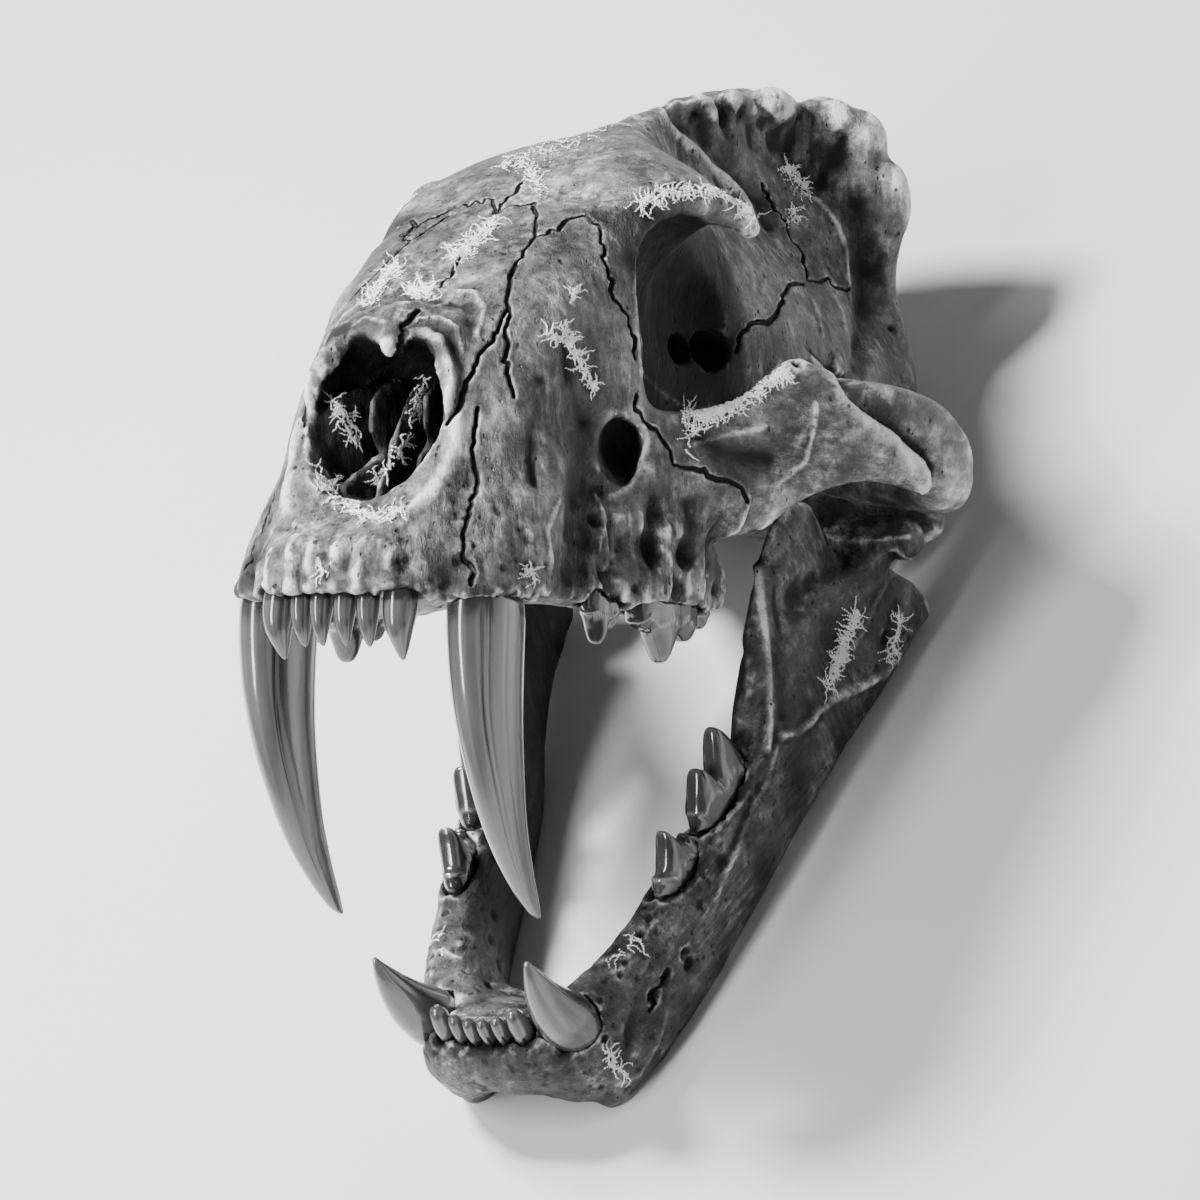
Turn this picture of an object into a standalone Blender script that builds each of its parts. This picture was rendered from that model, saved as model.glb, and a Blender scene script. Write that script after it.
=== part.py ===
"""A sabre-toothed cat's skull with its jaws open, resting on the lower jaw and the back of the skull.

Anatomy is written in millimetres in the skull's own frame: x to the animal's left, forward along
the muzzle and up, from the middle of the jaw joint's axis. The lower jaw is written in the same
frame with its mouth closed, and then swung open about the joint.
"""

import math

import bmesh
import bpy
import numpy as np
from mathutils import Matrix, Vector

MM = 0.001

# Pose: how far the mouth is open, and how far the lower jaw is tipped up as it rests on a table
GAPE = math.radians(39.7)
JAW_TIP_UP = math.radians(10.7)

# Where the jaw joint's axis stands in the part's frame: above the table, and behind its origin
JOINT_HEIGHT = 40.4
JOINT_BEHIND = 27.8

# Jaw joint: the two condyles are short rollers across the skull
JOINT_RADIUS = 8.0
JOINT_INNER = 47.0
JOINT_OUTER = 80.0
JOINT_CLEARANCE = 0.7
JOINT_END_ROOM = 2.0

# A tooth's root keeps this gap to its socket
SOCKET_GAP = 0.3

# Faces of the teeth: rings between two stations, and sides of a ring
TOOTH_STEPS = 1
CONE_SIDES = 8
BLADE_SIDES = 8

# Surface resolution of the bones
BONE_VOXEL = 2.2
BONE_SMOOTHING = 7
CRANIUM_TRIANGLES = 3050
MANDIBLE_TRIANGLES = 1100

# The block that stands for the table, in metres: width, length and depth
TABLE_BLOCK = (0.6, 0.8, 0.2)

BONE_COLOUR = (0.33, 0.33, 0.33, 1.0)
JAW_COLOUR = (0.24, 0.24, 0.24, 1.0)
ENAMEL_COLOUR = (0.62, 0.62, 0.61, 1.0)

# Half cross-sections of the skull, from the muzzle to the nape. Each is (forward, points), and the
# points (x, up) run from the top midline down the left side to the palate's midline.
SKULL_SECTIONS = (
    (218, ((0, -9), (3, -9), (6, -9), (9, -10), (11, -12), (12, -14),
           (12, -16), (12, -18), (11, -20), (9, -21), (5, -21), (0, -21))),
    (215, ((0, -5), (5, -5), (10, -5), (14, -6), (18, -9), (20, -12),
           (21, -15), (21, -18), (20, -21), (17, -22), (9, -22), (0, -21))),
    (210, ((0, -1), (6, -1), (11, -1), (16, -2), (21, -5), (24, -9),
           (26, -13), (27, -17), (27, -20), (24, -22), (13, -22), (0, -20))),
    (204, ((0, 2), (7, 3), (12, 5), (17, 5), (23, 2), (28, -3),
           (32, -8), (34.5, -14), (36, -19), (35, -23), (18, -22), (0, -18))),
    (199, ((0, 7), (8, 9), (13, 12), (18, 12), (25, 8), (31, 1),
           (35.5, -6), (38.5, -13), (40.5, -18), (40, -23), (20, -22), (0, -16))),
    (194, ((0, 21), (9, 23), (15, 25), (20, 22), (26.5, 15), (32, 6),
           (37, -3), (41.5, -11), (43.5, -17), (43, -23), (21, -22), (0, -14))),
    (189, ((0, 40), (9, 42), (16, 40), (22, 34), (28, 24), (33, 12),
           (38, 1), (43, -9), (44.5, -16), (44.5, -22), (22, -22), (0, -13))),
    (184, ((0, 55), (11, 56), (19, 52), (24, 45), (28.5, 33), (33.5, 19),
           (39, 5), (44, -7), (46, -15), (46, -22), (23, -22), (0, -12))),
    (176, ((0, 60), (13, 61), (22, 57), (28, 48), (34, 36), (39.5, 21),
           (44, 6), (47, -7), (47.5, -15), (46.5, -22), (23, -22), (0, -11))),
    (166, ((0, 66), (14, 66), (25, 63), (33, 54), (39, 40), (43.5, 24),
           (46.5, 8), (48, -6), (48, -14), (46.5, -22), (24, -22), (0, -10))),
    (155, ((0, 74), (15, 74), (28, 71), (36, 63), (41, 48), (44, 31),
           (46, 13), (47, -3), (48, -12), (48.5, -22), (28, -22), (0, -9))),
    (143, ((0, 82), (17, 82), (31, 78), (39, 70), (44, 55), (47, 37),
           (49, 18), (51.5, 1), (53.5, -10), (54, -23), (33, -23), (0, -8))),
    (131, ((0, 89), (19, 89), (34, 85), (42, 77), (46, 62), (49, 44),
           (52, 26), (55, 8), (57, -8), (57.5, -23), (37, -24), (0, -8))),
    (122, ((0, 95), (19, 95), (33, 91), (40, 85), (45.5, 74), (48, 59),
           (50, 42), (54, 26), (58, 4), (59.5, -23), (38, -24), (0, -8))),
    (114, ((0, 100), (19, 100), (34, 97), (42.5, 91), (46, 79), (46, 64),
           (43, 44), (50, 30), (59, 6), (60, -23), (39, -24), (0, -7))),
    (104, ((0, 106), (19, 106), (35, 103), (46, 96), (43, 86), (27, 68),
           (26, 42), (46, 26), (59, 4), (60, -23), (39, -24), (0, -6))),
    (93, ((0, 112), (19, 111), (37, 107), (52, 98), (41, 88), (24, 70),
          (22, 42), (38, 18), (57, 0), (58, -23), (38, -23), (0, -5))),
    (82, ((0, 116.5), (18, 116), (37, 111), (57, 96), (40, 87), (23, 72),
          (19, 42), (26, 12), (50, -5), (55, -21), (33, -21), (0, -3))),
    (72, ((0, 120), (15, 119.5), (31, 114), (48, 101), (36, 88), (23, 72),
          (19, 44), (18, 18), (26, 0), (30, -12), (22, -13), (0, 0))),
    (60, ((0, 123), (11, 122), (22, 116), (32, 104), (28, 90), (23, 74),
          (19, 48), (17, 26), (18, 8), (18, -5), (13, -6), (0, 6))),
    (46, ((0, 128), (6, 126), (13, 118), (22, 104), (26, 90), (27, 74),
          (25, 54), (22, 36), (20, 20), (17, 6), (12, 4), (0, 8))),
    (28, ((0, 134), (5, 130), (8, 119), (18, 102), (27, 86), (33, 68),
          (34, 50), (30, 33), (26, 18), (20, 6), (12, 3), (0, 6))),
    (8, ((0, 138), (5, 133), (8, 119), (17, 100), (30, 82), (38, 62),
         (40, 44), (37, 28), (32, 14), (23, 4), (12, 2), (0, 6))),
    (-14, ((0, 140.5), (6, 135), (9, 120), (18, 99), (31, 79), (40, 60),
           (43, 43), (42, 26), (37, 12), (26, 3), (12, 2), (0, 6))),
    (-36, ((0, 143.5), (8, 138.5), (11, 122), (20, 100), (31, 79), (42, 60),
           (46, 44), (46, 26), (39, 12), (26, 5), (12, 4), (0, 8))),
    (-48, ((0, 143), (12, 138.5), (16, 123), (23, 102), (31, 80), (41, 62),
           (49, 46), (49, 27), (38, 14), (25, 8), (12, 8), (0, 11))),
    (-56, ((0, 142), (17, 139.5), (27, 128), (33, 106), (33, 84), (40, 65),
           (49, 47), (47, 28), (36, 17), (22, 12), (11, 12), (0, 15))),
    (-62, ((0, 140), (19, 138), (32, 128), (39, 105), (37, 84), (43, 66),
           (47, 48), (43, 31), (33, 20), (19, 17), (10, 17), (0, 20))),
    (-67, ((0, 138), (18, 136), (31, 124), (38, 104), (36, 84), (41, 66),
           (42, 50), (36, 34), (26, 26), (16, 22), (8, 22), (0, 24))),
    (-71, ((0, 128), (10, 126), (18, 116), (25, 100), (25, 83), (26, 66),
           (26, 54), (22, 42), (16, 34), (10, 30), (5, 30), (0, 30))),
)

# Upright plates: stations of (x, forward, lowest, highest, half thickness)
CHEEK_BONE = (
    (44, 126, 8, 38, 8), (52, 112, 2, 35, 9), (60, 99, -4, 36, 8), (67, 87, -2, 41, 7),
    (73, 75, 6, 52, 5.5), (78, 66, 11, 50, 5), (84, 54, 15, 41, 5), (88, 42, 15.5, 33, 5),
    (91, 31, 14, 25, 4.5), (92, 21, 13, 18, 3),
)
TEMPLE_BAR = (
    (80, 60, 40, 47, 2.5), (85, 48, 33, 46.5, 4.5), (89, 34, 26, 45, 6.5), (91, 20, 15, 42, 8.5),
    (89, 8, 9, 37, 10.5), (82, -3, 8, 32, 12), (70, -9, 10, 30, 13), (57, -11, 12, 31, 12),
    (43, -12, 12, 34, 10),
)
JOINT_STOP = ((80, -13, 2, 14, 3), (73, -15, -1, 16, 3.5), (62, -16.5, -2, 18, 4), (50, -17, -1, 20, 4))
PALATE_WING = ((21, 78, -20, 4, 4), (20, 64, -16, 8, 3.5), (18, 50, -13, 9, 3), (17, 38, -9, 8, 2.5))

# Round limbs: stations of (x, forward, up, half width across, half depth)
BROW_HOOK = ((38, 92, 100, 9, 8), (48, 84, 98, 7, 6), (56, 77, 94.5, 5, 4.5), (60, 71, 89, 3, 3))
MASTOID = ((44, -40, 34, 12, 14), (49, -36, 14, 9, 11), (50, -30, -2, 7, 8), (48, -25, -10, 4, 5))
PARAMASTOID = ((34, -48, 22, 7, 7), (35, -49, 10, 5, 5), (34, -48, 1, 3, 3))
CHEEK_ROOT_SWELLINGS = (
    ((49, 148, -20, 6, 6), (48, 147, -6, 4, 5), (46, 146, 6, 2, 3)),
    ((50, 138, -20, 6, 5), (50, 137, -6, 4.5, 4), (48, 136, 5, 2, 3)),
    ((56, 124, -20, 5, 7), (55.5, 123, -6, 4, 6), (53, 122, 8, 2, 3)),
    ((57, 106, -20, 5, 7), (57, 105, -6, 4.5, 6), (55, 104, 8, 2, 3)),
)

# Ellipsoids: (x, forward, up) centre and half axes
EAR_CAPSULE = ((27, -22, 6), (11, 16, 11))
NAPE_CONDYLE = ((15, -62.4, 26.1), (11, 10, 11))
CREST_LUMPS = (
    ((1.5, 4, 133.5), (7, 10, 6)), ((2.5, -17, 136.5), (8, 11, 6.5)), ((5, -38, 137.5), (10, 12, 8)),
    ((15, -56, 135), (11, 8, 9)), ((26, -61, 128), (10, 7, 12)), ((35, -64, 110), (8, 6, 14)),
)

# Hollows cut out of the skull
NASAL_OPENING = (
    (230, ((0, 66), (9, 70), (20, 66), (27, 52), (27, 34), (22, 18), (12, 9), (0, 7))),
    (205, ((0, 60), (9, 64), (19, 60), (25, 48), (25, 33), (20, 17), (11, 8), (0, 6))),
    (191, ((0, 53), (9, 60), (18, 55), (23, 44), (23, 32), (19, 17), (11, 7), (0, 5))),
    (183, ((0, 49), (9, 53), (17, 49), (21.5, 40), (21.5, 29), (18, 16), (10, 7), (0, 5))),
    (170, ((0, 48), (8, 50), (15, 46), (19, 38), (19, 28), (16, 15), (9, 7), (0, 5))),
    (152, ((0, 46), (6, 46), (11, 43), (14, 36), (14, 27), (12, 17), (7, 10), (0, 9))),
    (138, ((0, 40), (3, 40), (5, 38), (6, 34), (6, 28), (5, 22), (3, 19), (0, 18))),
)
CHEEK_OPENING = ((62, 146, 18, 8, 10), (54, 136, 21, 7.5, 10), (46, 125, 26, 6.5, 9), (38, 110, 34, 6, 9))
EYE_NERVE_OPENINGS = (((20, 56, 52), (8, 6, 6.5)), ((21, 33, 47), (10, 5.5, 7.5)))
THROAT_OPENING = ((0, 50, 0, 12, 6), (0, 68, 3, 12, 8), (0, 84, 6, 10, 7), (0, 98, 8, 6, 4))
SPINE_OPENING = ((0, -44, 34, 7, 6), (0, -58, 34, 11, 9), (0, -84, 34, 13, 11))
NAPE_HOLLOWS = ((21, -78, 84), (17, 12, 34))

# Lower jaw, mouth closed
JAW_BODY = (
    (8, 190, -58, -38, 9), (15, 182, -68, -35, 12), (22, 172, -74, -34, 12), (28, 160, -74, -33, 10.5),
    (32.5, 145, -71, -31, 9.5), (36.5, 128, -68, -27, 9), (39.5, 110, -64, -24, 9), (42.5, 92, -60, -20, 9),
    (45, 76, -57, -14, 8), (49, 60, -53, -5, 7), (53, 45, -49, 5, 6), (57, 30, -46, 6, 5.5),
    (60, 16, -43, 2, 5.5), (62, 4, -41, -3, 6), (63, -5, -38, -15, 5), (63.5, -11, -35, -24, 3.5),
)
CORONOID = (
    (44, 76, -34, -12, 5), (45, 68, -30, -3, 5.5), (47, 56, -24, 11, 5), (49, 46, -20, 21, 4.5),
    (51, 37, -14, 29, 4), (53, 28, -8, 33, 3.5), (54, 20, -6, 32, 3), (55, 14, -6, 26, 2.5),
)
JAW_NECK = ((60, 20, -14, 5, 6), (62, 10, -8, 8, 7), (63, 1, -1, 13, 6.5))
CHIN_FLANGE = ((22, 176, -50, 9, 12), (23, 174, -64, 8, 10), (24, 171, -74, 6, 8))
JAW_ANGLE = ((61, 6, -28, 6, 9), (63, -4, -32, 6, 7), (65, -11, -33, 5, 5))
MASSETER_HOLLOW = (
    (60.5, 76, -36, 4, 7), (62, 60, -26, 6, 12), (66.5, 40, -17, 7.5, 18), (70.5, 20, -13, 7.5, 18),
    (72.5, 3, -14, 5, 13),
)
MENTAL_OPENINGS = (((43, 141, -50), (4, 3, 2.2)), ((38, 152, -46), (4, 2.4, 2)))

CHIN_SECTIONS = (
    (199, ((0, -42), (4, -42), (9, -43), (12, -45), (12, -47), (9, -50), (5, -51), (0, -50))),
    (195, ((0, -36), (8, -36), (14, -36), (19, -39), (20, -46), (17, -55), (9, -56), (0, -54))),
    (187, ((0, -34), (8, -34), (16, -34), (24, -36), (28, -46), (26, -60), (14, -61), (0, -57))),
    (178, ((0, -36), (8, -36), (16, -35), (26, -34), (32, -46), (29, -64), (16, -64), (0, -59))),
    (168, ((0, -43), (8, -42), (16, -40), (26, -36), (34, -46), (31, -64), (17, -65), (0, -59))),
    (159, ((0, -50), (8, -49), (15, -46), (24, -42), (32, -47), (31, -62), (19, -62), (0, -57))),
    (152, ((0, -54), (6, -53), (12, -52), (19, -49), (25, -51), (24, -58), (14, -59), (0, -56))),
)

# Teeth. Cones: stations of (x, forward, up, half width, half depth), root first
SABRE = (
    (32.5, 175.5, 7, 4, 7), (33, 180, -4, 6, 10.5), (34, 183.4, -14, 7.6, 13.6), (34.8, 185.4, -26, 9.1, 16),
    (35, 185.2, -42, 8.8, 15.2), (35, 183, -57, 8, 13.4), (34.8, 178.6, -72, 6.9, 11),
    (34.4, 172.3, -87, 5.4, 8.2), (34, 164, -100, 3.7, 5.3), (33.7, 156, -109.5, 2, 2.8),
    (33.5, 151.5, -113.5, 0.6, 0.8),
)
UPPER_INCISORS = {
    1: ((3.9, 208, -11, 1.8, 2.6), (3.9, 210.6, -19, 2.9, 3.9), (3.9, 211.8, -25, 3.2, 4),
        (3.9, 212, -30, 2.6, 3), (3.9, 211, -34.4, 1.3, 1.4), (3.9, 210.4, -36, 0.4, 0.5)),
    2: ((10.8, 207, -11, 1.9, 2.7), (10.9, 209.6, -19, 3, 4), (11, 210.8, -25, 3.2, 4.1),
        (11, 210.8, -30, 2.7, 3.1), (10.9, 209.6, -34.6, 1.4, 1.5), (10.8, 209, -36.2, 0.4, 0.5)),
    3: ((19, 202.4, -6, 2.6, 3.4), (19.6, 206, -16, 4.2, 5.2), (20.1, 208, -24, 4.9, 5.7),
        (20.2, 208.6, -30, 4.2, 4.8), (20, 207, -36, 2.3, 2.6), (19.8, 205.6, -39.8, 0.6, 0.7)),
}
LOWER_CANINE = (
    (23, 169, -54, 3.6, 4.6), (23.2, 175.5, -46, 6.6, 7.8), (23.5, 181.6, -38, 7.7, 9.2),
    (24.2, 187, -29, 7, 8), (24.9, 190.4, -20, 5.3, 5.8), (25.5, 192.3, -11.5, 3, 3.2),
    (25.9, 193, -5, 0.7, 0.8),
)
LOWER_INCISORS = {
    1: ((2.4, 186, -46, 1.4, 2), (2.4, 190.5, -38, 1.9, 3.1), (2.4, 192.6, -33, 2, 3.2),
        (2.4, 193.6, -29.4, 1.9, 2.3), (2.4, 193.8, -27.6, 1.3, 1.2)),
    2: ((7.2, 185.4, -46, 1.4, 2), (7.2, 190, -38, 2, 3.2), (7.2, 192, -33, 2.1, 3.3),
        (7.2, 193, -29, 2, 2.4), (7.2, 193.2, -27, 1.4, 1.2)),
    3: ((12.8, 185, -47, 1.7, 2.4), (13, 189.4, -38, 2.7, 3.6), (13, 191, -32, 2.9, 3.8),
        (13, 191.6, -27.4, 2.6, 2.9), (13, 191.6, -25, 1.8, 1.6)),
}

# Teeth. Blades: stations along the row of (x, forward, cutting edge, root end, half thickness)
UPPER_BLADES = {
    "upper_premolar": (
        (48.4, 151.4, -24.5, -18, 1.6), (48.4, 149.6, -26.5, -15, 3.1), (48.2, 147.6, -30, -13, 3.7),
        (48.2, 145.4, -34.5, -12, 3.9), (48.3, 143.2, -31.5, -12.5, 3.8), (48.6, 141.2, -28.5, -13, 3.6),
        (49, 139.4, -29.8, -13.5, 3.4), (49.4, 137.6, -27.5, -15, 2.8), (49.8, 136.2, -25, -18, 1.4),
    ),
    "upper_carnassial": (
        (52, 132.6, -25, -18, 2), (52.4, 130.2, -28.5, -14, 3.9), (52.8, 127.6, -30, -12, 4.5),
        (53.2, 124.4, -30.5, -11, 4.7), (53.5, 120.8, -35.5, -10, 4.9), (53.7, 117.6, -39.5, -10, 4.9),
        (53.8, 114.6, -36.5, -10, 4.7), (53.8, 111.4, -31.5, -10.5, 4.4), (53.8, 108, -31.6, -11, 4.3),
        (53.6, 104.4, -33, -11, 4), (53.4, 100.8, -32.2, -12, 3.6), (53.2, 97.8, -28, -14, 2.6),
        (53, 96, -25, -18, 1.2),
    ),
    "upper_molar": (
        (51, 92.6, -24.5, -17, 1.4), (51, 91, -26.8, -14.5, 3), (51, 89.2, -29, -13, 3.6),
        (51, 87.4, -27, -14, 3.1), (51, 85.8, -24, -17, 1.4),
    ),
}
LOWER_BLADES = {
    "lower_premolar": (
        (35.6, 134.6, -28, -38, 1.4), (36, 132.2, -24.5, -41, 3.1), (36.6, 129.2, -23, -43, 3.9),
        (37.2, 126, -18, -45, 4.3), (37.7, 123.2, -13.4, -45, 4.3), (38.2, 120.4, -18, -45, 4.2),
        (38.6, 117.6, -21.2, -44, 3.9), (38.9, 115.4, -20.6, -42, 3.3), (39.2, 113.4, -25, -37, 1.5),
    ),
    "lower_carnassial": (
        (39, 110.4, -24, -35, 1.6), (39.5, 107.4, -18.4, -40, 3.7), (40.1, 104, -12.4, -42, 4.5),
        (40.7, 100.8, -8.4, -43, 4.8), (41.2, 98, -10.4, -43, 4.8), (41.7, 95.4, -14.6, -42.5, 4.7),
        (42.2, 92.4, -8.4, -42, 4.6), (42.8, 88.8, -2.4, -41, 4.4), (43.3, 85.8, -4.4, -39, 3.9),
        (43.7, 83.4, -10, -36, 3.1), (44, 81.4, -17, -31, 1.5),
    ),
}


def skull_point(x, forward, up):
    """Metres, with the muzzle along -Y."""
    return Vector((x, -forward, up)) * MM


def spline(rows, steps):
    """Catmull-Rom through rows of numbers, with this many steps between two rows."""
    rows = np.asarray(rows, float)
    padded = np.concatenate([2 * rows[:1] - rows[1:2], rows, 2 * rows[-1:] - rows[-2:-1]])
    made = []
    for a, b, c, d in zip(padded, padded[1:], padded[2:], padded[3:]):
        for t in np.arange(steps) / steps:
            made.append(
                0.5 * (2 * b + (c - a) * t + (2 * a - 5 * b + 4 * c - d) * t**2
                       + (3 * b - a - 3 * c + d) * t**3)
            )
    made.append(rows[-1])
    return np.array(made)


def add_loft(bm, rings, mirrored=False):
    """One closed skin through rings of equally many points, and its twin across the midline."""
    for side in (1, -1) if mirrored else (1,):
        loops = [[bm.verts.new((side * p[0], p[1], p[2])) for p in ring] for ring in rings]
        faces = []
        for a, b in zip(loops, loops[1:]):
            for i in range(len(a)):
                j = (i + 1) % len(a)
                faces.append(bm.faces.new((a[i], a[j], b[j], b[i])))
        faces.append(bm.faces.new(loops[0]))
        faces.append(bm.faces.new(loops[-1]))
        bmesh.ops.recalc_face_normals(bm, faces=faces)


def section_rings(sections, steps, around=1):
    """Whole rings from half cross-sections, smoothed along the skull and around it."""
    table = np.array([[(x, forward, up) for x, up in points] for forward, points in sections])
    count, width = table.shape[:2]
    along = spline(table.reshape(count, -1), steps).reshape(-1, width, 3)
    rings = []
    for half in along:
        left = spline(half, around) if around > 1 else half
        right = left[-2:0:-1] * (-1, 1, 1)
        rings.append([skull_point(*p) for p in np.concatenate([left, right])])
    return rings


def limb_rings(stations, steps=3, sides=12, grow=0.0):
    """Elliptical rings square to a path; half width is across the skull, half depth square to it."""
    rows = spline(stations, steps)
    centres = rows[:, :3] * (1, -1, 1)
    tangents = np.gradient(centres, axis=0)
    tangents /= np.linalg.norm(tangents, axis=1)[:, None]
    centres[0] -= tangents[0] * grow
    centres[-1] += tangents[-1] * grow
    rings = []
    for centre, tangent, (wide, deep) in zip(centres, tangents, rows[:, 3:5]):
        across = np.array((1.0, 0, 0)) - tangent * tangent[0]
        across /= np.linalg.norm(across)
        square = np.cross(tangent, across)
        rings.append([
            Vector(centre + across * (wide + grow) * math.cos(a) + square * (deep + grow) * math.sin(a)) * MM
            for a in np.arange(sides) * 2 * math.pi / sides
        ])
    return rings


def plate_rings(stations, steps=3, sides=12, grow=0.0):
    """Upright rounded sections along a path seen from above."""
    rows = spline(stations, steps)
    flat = rows[:, :2] * (1, -1)
    tangents = np.gradient(flat, axis=0)
    tangents /= np.linalg.norm(tangents, axis=1)[:, None]
    flat[0] -= tangents[0] * grow
    flat[-1] += tangents[-1] * grow
    rings = []
    for (x, y), tangent, (low, high, half) in zip(flat, tangents, rows[:, 2:5]):
        normal = np.array((-tangent[1], tangent[0]))
        middle, reach = (low + high) / 2, (high - low) / 2
        ring = []
        for a in (np.arange(sides) + 0.5) * 2 * math.pi / sides:
            c, s = math.cos(a), math.sin(a)
            bulge = math.copysign(abs(c) ** 0.7, c)
            rise = math.copysign(abs(s) ** 0.8, s)
            spread = normal * bulge * (half + grow)
            ring.append(Vector((x + spread[0], y + spread[1], middle + rise * (abs(reach) + grow))) * MM)
        rings.append(ring)
    return rings


def add_ellipsoid(bm, centre, axes, mirrored=True, segments=20):
    for side in (1, -1) if mirrored else (1,):
        x, forward, up = centre
        place = Matrix.Translation(skull_point(side * x, forward, up)) @ Matrix.Diagonal(
            (*(Vector(axes) * MM), 1.0)
        )
        bmesh.ops.create_uvsphere(bm, u_segments=segments, v_segments=segments // 2, radius=1, matrix=place)


def new_object(name, bm, material=None):
    mesh = bpy.data.meshes.new(name)
    bm.to_mesh(mesh)
    bm.free()
    if material:
        mesh.materials.append(material)
    made = bpy.data.objects.new(name, mesh)
    bpy.context.scene.collection.objects.link(made)
    return made


def make_material(name, colour, roughness):
    material = bpy.data.materials.new(name)
    material.use_nodes = True
    shader = material.node_tree.nodes["Principled BSDF"]
    shader.inputs["Base Color"].default_value = colour
    shader.inputs["Roughness"].default_value = roughness
    shader.inputs["Metallic"].default_value = 0.0
    return material


def hide_helper(helper):
    helper.hide_render = True
    helper.display_type = "WIRE"
    return helper


def remesh(bone, name):
    modifier = bone.modifiers.new(name, "REMESH")
    modifier.mode = "VOXEL"
    modifier.voxel_size = BONE_VOXEL * MM


def shape_bone(bone, hollows, triangles):
    """Joins a bone's overlapping shapes into one skin, hollows it out and softens where they meet."""
    remesh(bone, "fuse")
    cut(bone, hollows, "hollows")
    remesh(bone, "even_skin")
    soften = bone.modifiers.new("soften", "SMOOTH")
    soften.factor = 0.5
    soften.iterations = BONE_SMOOTHING
    thin_out(bone, triangles)


def cut(bone, helper, name):
    modifier = bone.modifiers.new(name, "BOOLEAN")
    modifier.operation = "DIFFERENCE"
    modifier.solver = "EXACT"
    if isinstance(helper, bpy.types.Collection):
        modifier.operand_type = "COLLECTION"
        modifier.collection = helper
    else:
        modifier.object = helper


def thin_out(bone, triangles):
    """Fewer faces, down to about this many triangles."""
    bpy.context.view_layer.update()
    evaluated = bone.evaluated_get(bpy.context.evaluated_depsgraph_get())
    mesh = evaluated.to_mesh()
    mesh.calc_loop_triangles()
    now = len(mesh.loop_triangles)
    evaluated.to_mesh_clear()
    modifier = bone.modifiers.new("thin_out", "DECIMATE")
    modifier.ratio = min(1.0, triangles / now)


def cranium_shapes():
    bm = bmesh.new()
    add_loft(bm, section_rings(SKULL_SECTIONS, steps=3, around=3))
    add_loft(bm, plate_rings(CHEEK_BONE), mirrored=True)
    add_loft(bm, plate_rings(TEMPLE_BAR, sides=14), mirrored=True)
    add_loft(bm, plate_rings(JOINT_STOP), mirrored=True)
    add_loft(bm, plate_rings(PALATE_WING), mirrored=True)
    for limb in (BROW_HOOK, MASTOID, PARAMASTOID, *CHEEK_ROOT_SWELLINGS):
        add_loft(bm, limb_rings(limb), mirrored=True)
    for ball in (EAR_CAPSULE, NAPE_CONDYLE, *CREST_LUMPS):
        add_ellipsoid(bm, *ball)
    return bm


def cranium_hollows():
    bm = bmesh.new()
    add_loft(bm, section_rings(NASAL_OPENING, steps=3, around=2))
    add_loft(bm, limb_rings(CHEEK_OPENING), mirrored=True)
    add_loft(bm, limb_rings(THROAT_OPENING))
    add_loft(bm, limb_rings(SPINE_OPENING))
    for hollow in EYE_NERVE_OPENINGS:
        add_ellipsoid(bm, *hollow)
    add_ellipsoid(bm, *NAPE_HOLLOWS)
    return bm


def mandible_shapes():
    bm = bmesh.new()
    add_loft(bm, section_rings(CHIN_SECTIONS, steps=3, around=2))
    add_loft(bm, plate_rings(JAW_BODY), mirrored=True)
    add_loft(bm, plate_rings(CORONOID), mirrored=True)
    for limb in (CHIN_FLANGE, JAW_ANGLE, JAW_NECK):
        add_loft(bm, limb_rings(limb), mirrored=True)
    add_roller(bm, JOINT_RADIUS, JOINT_INNER, JOINT_OUTER)
    return bm


def mandible_hollows():
    bm = bmesh.new()
    add_loft(bm, limb_rings(MASSETER_HOLLOW), mirrored=True)
    for hollow in MENTAL_OPENINGS:
        add_ellipsoid(bm, *hollow)
    return bm


def add_roller(bm, radius, inner, outer):
    """A joint's condyle: a roller across the skull on the joint's axis, with rounded ends."""
    length = outer - inner
    stations = (
        (inner, 0.6), (inner + 0.1 * length, 0.92), (inner + 0.35 * length, 1.0),
        (inner + 0.65 * length, 1.0), (inner + 0.9 * length, 0.86), (outer, 0.5),
    )
    turn = np.arange(16) * 2 * math.pi / 16
    rings = [
        [skull_point(x, share * radius * math.cos(a), share * radius * math.sin(a)) for a in turn]
        for x, share in stations
    ]
    add_loft(bm, rings, mirrored=True)


def place_frame(name, tip_up):
    """An empty on the jaw joint's axis, tipped up at the muzzle."""
    empty = bpy.data.objects.new(name, None)
    empty.location = (0, JOINT_BEHIND * MM, JOINT_HEIGHT * MM)
    empty.rotation_euler.x = -tip_up
    bpy.context.scene.collection.objects.link(empty)
    return empty


def mirrored_stations(stations, side):
    return [(side * row[0], *row[1:]) for row in stations]


def add_tooth(name, maker, stations, side, frame, sockets, **shape):
    """A tooth with its root, and the socket cutter that leaves a gap all round the root."""
    label = f"{name}_{'left' if side > 0 else 'right'}"
    enamel = make_material(f"enamel_{label}", ENAMEL_COLOUR, 0.25)
    placed = mirrored_stations(stations, side)
    bm = bmesh.new()
    add_loft(bm, maker(placed, **shape))
    tooth = new_object(label, bm, enamel)
    tooth.parent = frame
    add_loft(sockets, maker(placed, grow=SOCKET_GAP, **shape))
    return tooth


def add_teeth(cones, blades, frame):
    """All of one jaw's teeth; returns the shape of their sockets."""
    sockets = bmesh.new()
    for side in (1, -1):
        for name, stations in cones.items():
            add_tooth(name, limb_rings, stations, side, frame, sockets, steps=TOOTH_STEPS, sides=CONE_SIDES)
        for name, stations in blades.items():
            add_tooth(name, plate_rings, stations, side, frame, sockets, steps=TOOTH_STEPS, sides=BLADE_SIDES)
    return sockets


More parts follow.
